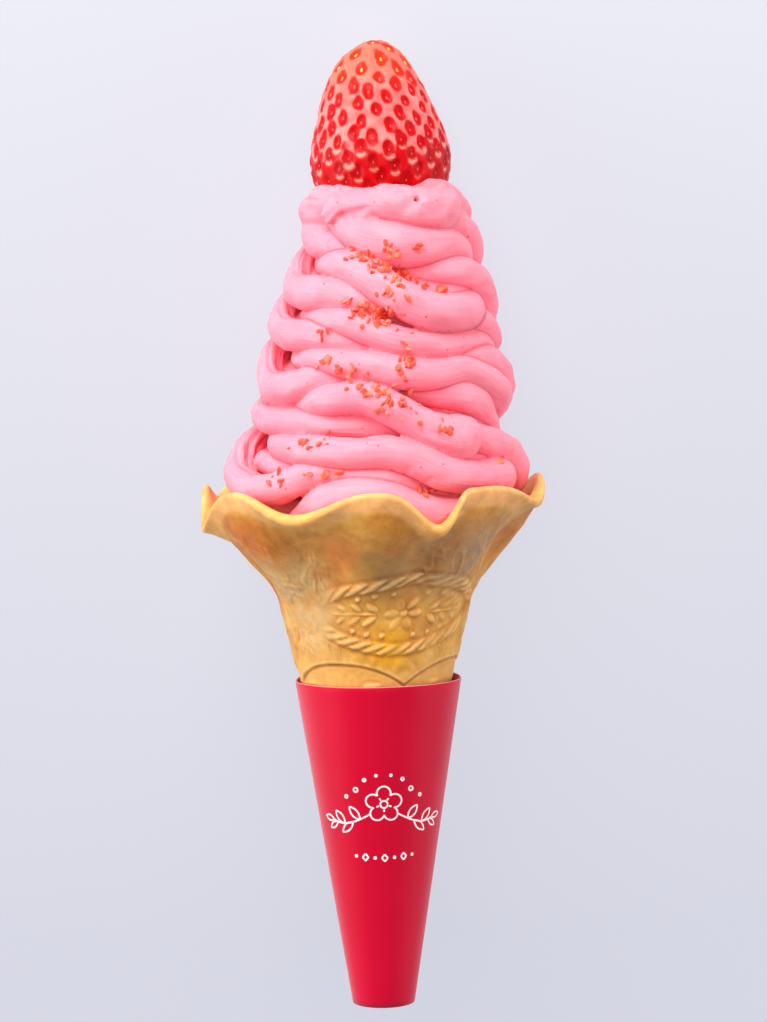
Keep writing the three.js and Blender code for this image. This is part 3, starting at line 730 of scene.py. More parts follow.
def printLines():
    # Each line as points across and up from the print's middle, in mm.
    lines = []

    def ringLine(x, y, radius, count=40):
        turn = np.linspace(0, 2 * math.pi, count)
        lines.append(np.stack([x + radius * np.cos(turn), y + radius * np.sin(turn)], axis=-1))

    def leafLine(x, y, lean, size):
        part = np.linspace(0, 1, 14)
        long = blossomPrint["leafLength"] * size
        wide = blossomPrint["leafWidth"] * size / 2 * np.sin(math.pi * part) ** 0.8
        shape = np.concatenate([np.stack([part * long, wide], axis=-1),
                                np.stack([part * long, -wide], axis=-1)[::-1]])
        cos, sin = math.cos(lean), math.sin(lean)
        lines.append(shape @ np.array([[cos, sin], [-sin, cos]]) + [x, y])

    turn = np.linspace(0, 2 * math.pi, 121)
    petal = blossomPrint["blossomRadius"] * (0.58 + 0.42 * np.abs(np.cos(2.5 * turn)) ** 0.7)
    lines.append(np.stack([petal * np.sin(turn), 3.2 + petal * np.cos(turn)], axis=-1))
    ringLine(0, 3.2, 1.0)
    for i in range(5):
        lean = 2 * math.pi * (i + 0.5) / 5
        lines.append(np.array([(math.sin(lean) * r, 3.2 + math.cos(lean) * r)
                               for r in (1.4, 2.1)]))
    for side in (-1, 1):
        part = np.linspace(0, 1, 24)
        stem = np.stack([side * (3.6 + part * (blossomPrint["stem"] - 3.6)),
                         0.6 - 4.2 * np.sin(math.pi * 0.62 * part) + 1.6 * part], axis=-1)
        lines.append(stem)
        for step, lift in ((6, 0.85), (10, -0.75), (15, 0.8), (20, -0.6), (23, 0.15)):
            x, y = stem[step]
            lean = lift if side > 0 else math.pi - lift
            leafLine(x, y, lean, 0.9 if step < 20 else 0.72)
        for x, y, radius in ((7.6, 7.2, 0.6), (10.4, 5.2, 0.42), (5.2, 10.0, 0.42), (2.0, 11.2, 0.3)):
            ringLine(side * x, y, radius, 16)
    # a hem of lozenges and dots below
    for i in range(-3, 4):
        x, y = i * 2.6, -11.8 + 0.05 * i * i
        if i % 2:
            ringLine(x, y, 0.3, 12)
        else:
            lines.append(np.array([(x, y + 1.0), (x + 0.8, y), (x, y - 1.0), (x - 0.8, y),
                                   (x, y + 1.0)]))
    return lines


def finely(line, step):
    reach = lengthsAlong(line)
    places = np.linspace(0, reach[-1], max(2, int(reach[-1] / step) + 1))
    return np.stack([np.interp(places, reach, line[:, i]) for i in range(2)], axis=-1)


def buildPrint():
    points, faces, base = [], [], 0
    for line in printLines():
        line = finely(line, 0.3)
        along = np.gradient(line, axis=0)
        along /= np.maximum(np.linalg.norm(along, axis=1, keepdims=True), 1e-9)
        aside = np.stack([-along[:, 1], along[:, 0]], axis=-1) * blossomPrint["line"] / 2
        flat = np.stack([line - aside, line + aside], axis=1).reshape(-1, 2)
        height = blossomPrint["middle"] + flat[:, 1]
        angle = (blossomPrint["across"] + flat[:, 0]) / sleeveRadius(height)
        radius = sleeveSkin(angle, height) + blossomPrint["ink"]
        points.append(np.stack([sleeve["shift"] + radius * np.sin(angle), height,
                                radius * np.cos(angle)], axis=-1))
        faces += [[base + 2 * i, base + 2 * i + 2, base + 2 * i + 3, base + 2 * i + 1]
                  for i in range(len(line) - 1)]
        base += len(flat)
    makePiece("blossomPrint", np.concatenate(points), faces, printInk())


buildPrint()
print("print laid on")

# Soft cream.

pile = {
    "girth": 3.9,  # mm, the rope's own radius
    "voxel": 0.5, "triangles": 188000,  # mm, and how many are kept, most of them in the folds
    "fillet": 0.8,  # mm, how softly two ropes meet
    "sides": 20, "coreSides": 48,
    # the plug in the wafer's mouth and the solid middle, as height and radius
    "core": [(98, 18), (101, 20), (112, 22.2), (126, 27), (138, 27), (160, 23), (182, 20),
             (204, 14), (219, 9)],
    "stepAlong": 1.4,
    # height, radius to the rope's middle, shift to the right
    "shape": [(128, 30.0, 0.8), (138, 36.4, 1.2), (147, 36.8, 1.2), (154, 33.6, 1.4),
              (160, 31.0, 2.4), (168, 31.4, 3.4), (180, 28.4, 3.3), (190, 26.4, 4.2),
              (199, 22.9, 4.6), (208, 20.6, 4.8), (216, 17.0, 4.6), (224, 13.0, 4.4)],
}

# Each turn of the rope from its left side across the front to its right side: angle from the
# shown side, height, reach as a share of the pile's radius there, and girth. "back" is its height
# behind.
turns = {
    "baseTurn": {"back": 133, "front": [
        (-95, 131), (-70, 130.5), (-50, 131.5, 0.9), (-34, 135.4, 0.95, 4.5), (-21, 140.4, 1.0, 4.8),
        (-8, 142.4, 1.0, 4.8), (4, 141.4, 1.0, 4.8), (15, 138.4, 1.0, 4.8), (28, 136.6, 1.03, 4.8),
        (42, 136.6, 1.02, 4.8), (60, 134, 1.0), (95, 131)]},
    "outer5": {"back": 141, "front": [
        (-128, 156.5, 0.94), (-104, 155, 0.97), (-90, 149.5, 1.01, 4.2), (-76, 144.4, 1.02, 4.3),
        (-58, 142.2, 1.0, 4.5), (-44, 143.8, 1.0, 4.5), (-32, 146.6, 0.98, 3.9), (-20, 148.2, 0.95, 3.4),
        (-6, 147.8, 0.95, 3.4), (8, 146.4, 0.94, 3.4), (22, 143.6, 0.9), (38, 141.2, 0.92), (54, 139, 0.9),
        (80, 136, 0.9)]},
    "inner5": {"back": 147, "front": [
        (-86, 155, 0.66), (-68, 154.8, 0.84, 3.2), (-50, 154.0, 0.95, 3.5), (-32, 153.6, 1.02, 4.1),
        (-12, 153.2, 1.06, 4.2), (4, 153.4, 1.08, 4.3), (16, 151.2, 1.08, 4.5),
        (28, 147.4, 1.06, 4.6), (48, 145.8, 1.0, 4.5), (68, 145.2, 0.96, 4.3), (84, 143, 0.9),
        (106, 141, 0.88)]},
    "outer4": {"back": 153, "front": [
        (-125, 163.5, 0.94), (-95, 162.4, 0.99), (-80, 161.0, 1.0), (-62, 160.6, 1.0),
        (-42, 160.8, 0.99, 3.7), (-22, 160.2, 0.97, 3.6), (-2, 159.4, 0.93), (18, 158.4, 0.88),
        (38, 157.6, 0.92), (56, 155.2, 0.98), (74, 151.6, 1.01, 4.2), (88, 146, 1.01, 4.2),
        (102, 140.5, 0.97)]},
    "inner4": {"back": 159, "front": [
        (-118, 172, 0.9), (-96, 168.4, 0.96), (-76, 165.4, 0.78, 3.6), (-56, 164.4, 0.84, 2.8),
        (-42, 164.9, 0.94, 2.9), (-26, 166.8, 1.03, 4.1), (-9, 167.4, 1.07, 4.3),
        (4, 164.6, 1.1, 4.5), (16, 160.4, 1.11, 4.9), (27, 157.2, 1.12, 5.4),
        (35, 156.4, 1.12, 6.0), (44, 157.0, 0.96, 4.6), (58, 157, 0.82), (90, 156, 0.82)]},
    "outer3": {"back": 165, "front": [
        (-130, 180.5, 0.93), (-106, 180, 0.97), (-91, 175.5, 1.0), (-80, 170.6, 0.99, 4.0),
        (-64, 169.0, 0.99, 4.4), (-48, 170.0, 1.0, 4.4), (-34, 172.2, 0.97), (-20, 173.0, 0.93, 3.4),
        (2, 171.0, 0.86), (22, 169.0, 0.91, 4.2), (38, 167.6, 0.96, 4.3), (52, 165.6, 0.96, 4.2),
        (66, 161.6, 0.93, 4.1), (82, 156, 0.89), (102, 152, 0.84)]},
    "inner3": {"back": 170.5, "front": [
        (-86, 176.6, 0.54), (-68, 177, 0.74), (-54, 176.8, 0.88, 2.7), (-38, 177.0, 0.98, 3.3),
        (-20, 176.1, 1.03, 3.8), (-4, 175.4, 1.05, 4.1), (10, 173.4, 1.06, 4.4),
        (26, 173.1, 1.05, 4.0), (40, 173.8, 1.03, 3.7), (54, 171.8, 1.02, 3.8),
        (70, 168.0, 1.01, 3.9), (86, 164, 0.97), (104, 161.5, 0.9)]},
    "outer2": {"back": 176.5, "front": [
        (-130, 192.5, 0.92), (-107, 192, 0.96), (-92, 188.6, 1.0), (-79, 184.8, 1.0, 4.1),
        (-62, 183.4, 1.0, 4.3), (-42, 183.2, 0.99, 4.1), (-20, 182.2, 0.95, 3.7), (2, 180.0, 0.9),
        (24, 178.2, 0.88), (44, 177.6, 0.95), (62, 176.4, 0.99, 4.1), (78, 172.6, 1.01, 4.2),
        (91, 167.0, 1.0, 4.2), (104, 161.5, 0.95)]},
    "inner2": {"back": 182.5, "front": [
        (-86, 187.4, 0.52), (-68, 187.4, 0.74), (-54, 187.2, 0.87, 2.7), (-36, 187.5, 0.98, 3.2),
        (-18, 186.4, 1.03, 3.9), (-4, 184.0, 1.06, 4.0), (10, 181.4, 1.06, 4.0),
        (28, 180.3, 1.04, 3.8), (46, 180.6, 1.0, 3.6), (64, 179.8, 0.97, 3.7),
        (80, 177, 0.92), (98, 174, 0.88)]},
    "outer1": {"back": 188.5, "front": [
        (-130, 205.5, 0.88), (-108, 204.5, 0.93), (-93, 201.2, 0.98), (-82, 197, 0.99, 4.2),
        (-66, 194.6, 1.0, 4.6), (-48, 194.2, 1.01, 4.8), (-30, 193.8, 1.0, 4.3),
        (-14, 192.2, 0.97, 3.9), (4, 189.8, 0.9), (24, 187.8, 0.86), (46, 187.2, 0.92),
        (64, 186.2, 0.97), (80, 183.6, 0.98, 4.2), (92, 179.6, 0.97), (106, 175, 0.9)]},
    "inner1": {"back": 194.5, "front": [
        (-86, 201.4, 0.5), (-68, 201.4, 0.72), (-54, 201.2, 0.88, 2.7), (-36, 201.6, 1.0, 3.8),
        (-20, 200.8, 1.07, 4.5), (-6, 197.4, 1.12, 4.8), (8, 192.8, 1.14, 5.0),
        (26, 189.0, 1.12, 5.2), (43, 188.7, 1.04, 5.2), (58, 189.0, 0.95, 5.0),
        (72, 189.6, 0.86, 4.4), (95, 189.5, 0.84)]},
    "outer0": {"back": 200.5, "front": [
        (-128, 212.9, 0.8), (-104, 212.2, 0.86), (-86, 211.4, 0.9, 5.0), (-66, 208.6, 0.92, 5.3),
        (-46, 206.4, 0.93, 4.2), (-30, 205.8, 0.93, 3.0), (-8, 203.4, 0.87, 3.4), (14, 200.8, 0.86),
        (32, 199.8, 0.94, 4.1), (50, 199.4, 1.0, 4.1), (66, 198.0, 1.02, 4.2), (80, 194.4, 1.02, 4.2),
        (92, 189.4, 1.0, 4.1), (106, 184.5, 0.94)]},
    "inner0": {"back": 206.5, "front": [
        (-88, 213.5, 0.62), (-62, 213.4, 0.78, 4.0), (-38, 212.0, 0.92, 4.3), (-18, 209.4, 1.02, 5.2),
        (0, 207.0, 1.06, 5.9), (18, 206.2, 1.06, 5.6), (34, 206.6, 1.04, 4.9),
        (50, 206.4, 0.98, 4.5), (64, 204.6, 0.93, 4.4), (80, 201.4, 0.88), (100, 198, 0.84)]},
    "outerTop": {"back": 211.5, "front": [
        (-90, 213, 0.7), (-50, 213, 0.66), (0, 213, 0.7), (36, 213.2, 0.82), (60, 213.0, 0.95),
        (76, 211.4, 1.02, 4.2), (90, 207.0, 1.04, 4.2), (104, 202, 1.0)]},
    "crownTurn": {"back": 218.5, "front": [
        (-110, 215.4, 0.93, 4.6), (-86, 215.1, 1.06, 4.8), (-64, 215.6, 1.05, 4.9),
        (-46, 216.6, 1.0, 4.6), (-28, 217.4, 1.1, 4.2), (-8, 218.0, 1.2, 4.4),
        (10, 217.0, 1.26, 5.2), (28, 216.1, 1.26, 6.2), (44, 216.1, 1.14, 6.5),
        (62, 216.8, 0.94, 5.2), (90, 216, 0.9, 4.4)]},
    "crownBack": {"back": 221, "front": [
        (-90, 219, 0.7, 5), (0, 218, 0.6, 5), (56, 220.4, 0.86, 4.4), (76, 220.0, 0.98, 4.2),
        (90, 216.8, 1.04, 4.2), (106, 212.6, 1.0, 4.2)]},
}
# height, radius and girth of the solid middle, and how far right of the turns it sits
bedRings = [(138, 25.5, 7.5), (147, 25.5, 8), (158, 22.5, 8), (170, 21.5, 8), (182, 19.5, 8),
            (194, 16, 8), (206, 11.5, 8.5), (216, 8, 8)]
bedShift = 1.6

# smeared folds on top: x, height, depth and girth along each, in mm
folds = [
    [(-7.0, 219.0, 15.4, 1.8), (-9.4, 217.2, 16.6, 1.7), (-11.6, 215.0, 16.6, 1.4)],
    [(-6.6, 216.6, 17.4, 1.5), (-8.8, 214.6, 17.4, 1.5), (-10.4, 213.2, 17.0, 1.2)],
    [(-10.8, 219.0, 9.0, 4.1), (-8.0, 219.0, 11.4, 3.9), (-3, 219.6, 12.8, 3.5)],
    [(-4.5, 221.0, 12.5, 2.0), (0, 221.8, 13.0, 2.2), (4, 221.4, 13.5, 2.1)],
    [(10, 219.6, 13.0, 2.4), (15, 221.0, 11.5, 2.8), (19, 220.4, 10.0, 2.8)],
    [(-5, 213.0, 19.4, 1.0), (1, 214.6, 21.6, 1.2), (7, 215.0, 22.6, 1.0)],
    # a bit of rope deep in the lowest hook
    [(-28.0, 148.8, 6, 3.8), (-24.5, 148.6, 16, 3.8), (-18, 147.8, 24, 3.5)],
]
# nips and air holes pressed in from the shown side: x and height of both ends, half width, depth
nips = [
    (12.9, 218.7, 13.0, 218.7, 0.45, 2.0), (17.6, 222.4, 21.5, 221.4, 0.6, 0.9),
    (16.3, 220.6, 22.4, 219.8, 0.6, 0.5), (-7.6, 214.4, -0.6, 216.4, 0.6, 0.6),
    (-5.0, 212.0, 2.0, 214.4, 0.6, 0.5), (-14.8, 208.8, -13.4, 209.2, 0.35, 0.45),
    (-16.2, 219.0, -13.6, 218.4, 0.5, 0.5), (-10.4, 221.6, -7.6, 220.6, 0.5, 0.5),
    (8.5, 148.2, 9.6, 149.0, 0.7, 0.5), (5.0, 149.0, 6.6, 149.4, 0.5, 0.3),
    (14.0, 146.0, 15.4, 146.6, 0.6, 0.4), (16.0, 158.4, 20.0, 156.2, 0.5, 0.35),
    (10.2, 184.6, 10.5, 183.2, 0.35, 0.4), (13.2, 184.3, 13.0, 183.0, 0.35, 0.35),
    (17.2, 184.0, 18.4, 183.6, 0.35, 0.35),
]


def stationsOf(turn):
    front = [(s + (1.0, pile["girth"])[len(s) - 2:]) for s in turn["front"]]
    first, last = front[0], front[-1]
    gap = first[0] + 360 - last[0]
    behind = []
    for part in (0.2, 0.4, 0.6, 0.8):
        ends = last[1] + (first[1] - last[1]) * part
        bow = math.sin(math.pi * part)
        middle = (last[1] + first[1]) / 2
        behind.append((last[0] + gap * part, ends + (turn["back"] - middle) * bow * 0.9,
                       1.0, pile["girth"]))
    return front + behind


def closedCurve(values, perSpan):
    # A smooth closed curve through rows of values, uniform Catmull-Rom.
    values = np.asarray(values, float)
    count = len(values)
    rows = []
    for i in range(count):
        p0, p1, p2, p3 = (values[(i + k) % count] for k in (-1, 0, 1, 2))
        for t in np.linspace(0, 1, perSpan[i], endpoint=False):
            rows.append(0.5 * (2 * p1 + (p2 - p0) * t + (2 * p0 - 5 * p1 + 4 * p2 - p3) * t ** 2
                               + (3 * p1 - p0 - 3 * p2 + p3) * t ** 3))
    return np.array(rows)


def ropeLine(stations):
    rows = []
    for degrees, height, reach, girth in stations:
        angle = math.radians(degrees)
        radius = table(height, pile["shape"]) * reach
        rows.append((table(height, pile["shape"], 2) + radius * math.sin(angle), height,
                     radius * math.cos(angle), girth))
    rows = np.array(rows)
    spans = np.linalg.norm(np.roll(rows, -1, axis=0)[:, :3] - rows[:, :3], axis=1)
    return closedCurve(rows, np.maximum(2, (spans / pile["stepAlong"]).astype(int)))


def ropeRows(line, closed=True):
    # A rope's places, girths, inward sides, tops and lengths so far.
    ahead, behind = np.roll(line, -1, axis=0)[:, :3], np.roll(line, 1, axis=0)[:, :3]
    if not closed:
        ahead[-1], behind[0] = line[-1, :3], line[0, :3]
    along = (ahead - behind) / np.linalg.norm(ahead - behind, axis=1, keepdims=True)
    side = np.cross([0.0, 1.0, 0.0], along)
    side /= np.maximum(np.linalg.norm(side, axis=1, keepdims=True), 1e-6)
    length = np.cumsum(np.linalg.norm(np.diff(line[:, :3], axis=0, prepend=line[:1, :3]), axis=1))
    return np.column_stack([line, side, np.cross(along, side), length * 0.06])


def tubeOf(rope, sides):
    turn = np.linspace(0, 2 * math.pi, sides, endpoint=False)
    ring = rope[:, None, :3] + rope[:, 3, None, None] * (
        rope[:, None, 4:7] * np.cos(turn)[None, :, None]
        + rope[:, None, 7:10] * np.sin(turn)[None, :, None])
    return ring.reshape(-1, 3), closedFaces(len(rope), sides)


def reshaped(points, faces, modifiers):
    # The largest body of a mesh after Blender's own modifiers: points, faces and normals.
    mesh = bpy.data.meshes.new("creamRough")
    mesh.from_pydata(np.asarray(points).tolist(), [], faces)
    rough = bpy.data.objects.new("creamRough", mesh)
    bpy.context.scene.collection.objects.link(rough)
    for kind, settings in modifiers:
        modifier = rough.modifiers.new(kind, kind)
        for name, value in settings.items():
            setattr(modifier, name, value)
    evaluated = rough.evaluated_get(bpy.context.evaluated_depsgraph_get())
    done = evaluated.to_mesh()
    places, normals = np.zeros((2, len(done.vertices) * 3))
    done.vertices.foreach_get("co", places)
    done.vertices.foreach_get("normal", normals)
    edges = np.zeros(len(done.edges) * 2, np.int32)
    done.edges.foreach_get("vertices", edges)
    edges = edges.reshape(-1, 2)
    # each point takes the lowest number that it is joined to, and the commonest number stays
    label = np.arange(len(done.vertices))
    while True:
        lower = np.minimum(label[edges[:, 0]], label[edges[:, 1]])
        joined = label.copy()
        np.minimum.at(joined, edges[:, 0], lower)
        np.minimum.at(joined, edges[:, 1], lower)
        joined = joined[joined]
        if (joined == label).all():
            break
        label = joined
    kept = label == np.bincount(label).argmax()
    number = np.cumsum(kept) - 1
    left = [[int(number[v]) for v in face.vertices] for face in done.polygons
            if kept[face.vertices[0]]]
    evaluated.to_mesh_clear()
    bpy.data.objects.remove(rough)
    return places.reshape(-1, 3)[kept], left, normals.reshape(-1, 3)[kept]


def nearRopes(skin, ropes):
    # For each place the nearest rope and the next: the gaps, the ways out, and where it lies
    # round and along the nearest.
    best, second = np.full((2, len(skin)), 1e3)
    out, secondOut = np.zeros((2, len(skin), 3))
    across, up, along = np.zeros((3, len(skin)))
    for rope, closed in ropes:
        ahead, behind = np.roll(rope, -1, axis=0), np.roll(rope, 1, axis=0)
        ahead[-1, -1], behind[0, -1] = rope[-1, -1], rope[0, -1]
        if not closed:
            ahead[-1], behind[0] = rope[-1], rope[0]
        slope, bend = (ahead - behind) / 2, (ahead + behind) / 2 - rope
        near = np.where((skin[:, 1] > rope[:, 1].min() - 9) & (skin[:, 1] < rope[:, 1].max() + 9))[0]
        for part in np.array_split(near, max(1, len(near) // 8000)):
            here = skin[part]
            nearest = (np.linalg.norm(here[:, None] - rope[None, :, :3], axis=2)
                       - rope[None, :, 3]).argmin(axis=1)
            run = slope[nearest, :3]
            step = ((here - rope[nearest, :3]) * run).sum(1) / (run ** 2).sum(1)
            step = np.clip(step, -0.6, 0.6)[:, None]
            spot = rope[nearest] + slope[nearest] * step + bend[nearest] * step ** 2
            offset = here - spot[:, :3]
            reach = np.linalg.norm(offset, axis=1)
            gap = reach - spot[:, 3]
            away = offset / np.maximum(reach, 1e-6)[:, None]
            closer, nextOne = gap < best[part], gap < second[part]
            second[part] = np.where(closer, best[part], np.where(nextOne, gap, second[part]))
            secondOut[part] = np.where(closer[:, None], out[part],
                                       np.where(nextOne[:, None], away, secondOut[part]))
            best[part] = np.where(closer, gap, best[part])
            out[part] = np.where(closer[:, None], away, out[part])
            across[part] = np.where(closer, (offset * spot[:, 4:7]).sum(1), across[part])
            up[part] = np.where(closer, (offset * spot[:, 7:10]).sum(1), up[part])
            along[part] = np.where(closer, spot[:, 10], along[part])
    return best, second, out, secondOut, across, up, along


def drawnOn(skin, normals, near):
    # The skin drawn back onto the ropes, with a small fillet where two meet, and the ways out.
    best, second, out, secondOut = near[:4]
    soft = smooth(skin[:, 1], 213, 217.5) * (1 - smooth(skin[:, 0], 5, 11))
    fillet = pile["fillet"] * (1 + 2.2 * soft)
    share = np.clip(0.5 + 0.5 * (second - best) / fillet, 0, 1)
    gap = second * (1 - share) + best * share - fillet * share * (1 - share)
    way = out * share[:, None] + secondOut * (1 - share[:, None])
    size = np.maximum((way ** 2).sum(1), 0.25)
    hold = 1 - smooth(np.abs(gap) - fillet / 4, 0.3, 0.7)
    skin = skin - way * (np.clip(gap / size, -1, 1) * hold)[:, None]
    way = normals + (way / np.sqrt(size)[:, None] - normals) * hold[:, None]
    return skin, way / np.maximum(np.linalg.norm(way, axis=1, keepdims=True), 1e-9)


def innerWall(angle, height):
    # The wafer's inside radius at each angle and height, less a little air.
    steps = np.linspace(0, 1, 24)
    columns = np.linspace(-math.pi, math.pi, 181)
    line = wallLine(columns, steps)
    along = np.gradient(line, axis=1)
    along /= np.linalg.norm(along, axis=2, keepdims=True)
    inside = line - (wafer["wall"] / 2 + 0.4) \
        * np.stack([along[..., 1], -along[..., 0]], axis=-1)
    heights = np.arange(90, 150, 1.0)
    grid = np.stack([np.interp(heights, row[:, 1], row[:, 0], left=24.0, right=99.0)
                     for row in inside])
    column = (angle + math.pi) / (2 * math.pi) * 180
    low = np.clip(column.astype(int), 0, 179)
    part = column - low
    rowIndex = np.clip((height - 90), 0, 58.999)
    rowLow = rowIndex.astype(int)
    rowPart = rowIndex - rowLow
    value = 0
    for i, weightColumn in ((0, 1 - part), (1, part)):
        for j, weightRow in ((0, 1 - rowPart), (1, rowPart)):
            value = value + grid[low + i, rowLow + j] * weightColumn * weightRow
    return value


def softCream():
    # Strawberry soft cream, piped cold through a round nozzle: satin and faintly see-through, with
    # fine drag lines along the rope and a few specks of fruit; painted shade darkens its folds, pockets,
    # holes and drag-line troughs.
    material, tree, shader = newMaterial("softCreamPiped")
    place = addNode(tree, "ShaderNodeTexCoord", output="Object")
    fold, recessShade, hook, lineAcross, lineUp, lineAlong = (
        addNode(tree, "ShaderNodeAttribute", {"attribute_name": name}, output="Fac")
        for name in ("fold", "recessShade", "hook", "lineAcross", "lineUp", "lineAlong"))
    tone = addNode(tree, "ShaderNodeTexNoise", {"Vector": place, "Scale": 60.0, "Detail": 3.0})
    colour = addNode(tree, "ShaderNodeValToRGB", {"Fac": tone},
                     [(0.3, "#fb8596"), (0.7, "#fc90a0")])
    lineSpace = addNode(tree, "ShaderNodeCombineXYZ", {"X": lineAcross, "Y": lineUp,
                                                       "Z": lineAlong})
    drag = addNode(tree, "ShaderNodeTexNoise",
                   {"Vector": lineSpace, "Scale": 1.1, "Detail": 2.0, "Roughness": 0.5})
    streak = addNode(tree, "ShaderNodeTexNoise", {"Vector": lineSpace, "Scale": 2.3, "Detail": 1.0})
    pits = addNode(tree, "ShaderNodeTexVoronoi", {"Vector": place, "Scale": 240.0})
    specks = addNode(tree, "ShaderNodeValToRGB", {"Fac": pits}, [(0.05, 0.85), (0.08, 0.0)])
    streaks = addNode(tree, "ShaderNodeValToRGB", {"Fac": streak}, [(0.36, 0.3), (0.46, 0.0)])
    # painted shade in the troughs of the nozzle's marks, deepest where the rope turns in from behind
    marks = addNode(tree, "ShaderNodeValToRGB", {"Fac": drag}, [(0.4, 0.85), (0.52, 0.0)])
    marks = addNode(tree, "ShaderNodeMath", {"operation": "MULTIPLY", 0: marks, 1: hook})
    # painted shade: deep pink where two ropes meet
    folds = addNode(tree, "ShaderNodeValToRGB", {"Fac": fold},
                    [(0.0, 0.0), (0.55, 0.16), (0.82, 0.55), (1.0, 1.0)])
    # painted shade: near black in the deepest air holes
    holeShade = addNode(tree, "ShaderNodeMapRange", {"Value": recessShade, "From Min": 1.0, "From Max": 1.7})
    # streaks and specks are the cream's own colour; the other tints are painted shade
    for share, tint in ((streaks, "#f0708a"), (marks, "#d03a58"), (specks, "#a8405e"),
                        (folds, "#c41c38"), (recessShade, "#c01428"), (holeShade, "#50101c")):
        colour = addNode(tree, "ShaderNodeMix",
                         {"data_type": "RGBA", 0: share, 6: colour, 7: linear(tint)}, output=2)
    tree.links.new(colour, shader.inputs["Base Color"])
    shader.inputs["Subsurface Weight"].default_value = 0.4
    shader.inputs["Subsurface Radius"].default_value = (1.0, 0.35, 0.28)
    shader.inputs["Subsurface Scale"].default_value = 0.0016
    shader.inputs["Roughness"].default_value = 0.45
    shader.inputs["IOR"].default_value = 1.36
    # the lines fade out where two ropes meet
    open_ = addNode(tree, "ShaderNodeMapRange",
                    {"Value": fold, "From Min": 0.1, "From Max": 0.7, "To Min": 1.0, "To Max": 0.0})
    level = addNode(tree, "ShaderNodeMath", {"operation": "SUBTRACT", 0: drag, 1: 0.5})
    level = addNode(tree, "ShaderNodeMath", {"operation": "MULTIPLY", 0: level, 1: open_})
    deeper = addNode(tree, "ShaderNodeMath", {"operation": "MULTIPLY_ADD", 0: hook, 1: 2.2, 2: 1.0})
    level = addNode(tree, "ShaderNodeMath", {"operation": "MULTIPLY", 0: level, 1: deeper})
    pitMask = addNode(tree, "ShaderNodeValToRGB", {"Fac": pits}, [(0.03, 0.0), (0.07, 1.0)])
    bump = addNode(tree, "ShaderNodeBump", {"Height": level, "Strength": 0.4,
                                            "Distance": 0.0004})
    bump = addNode(tree, "ShaderNodeBump", {"Height": pitMask, "Normal": bump, "Strength": 0.25,
                                            "Distance": 0.0002})
    tree.links.new(bump, shader.inputs["Normal"])
    return material


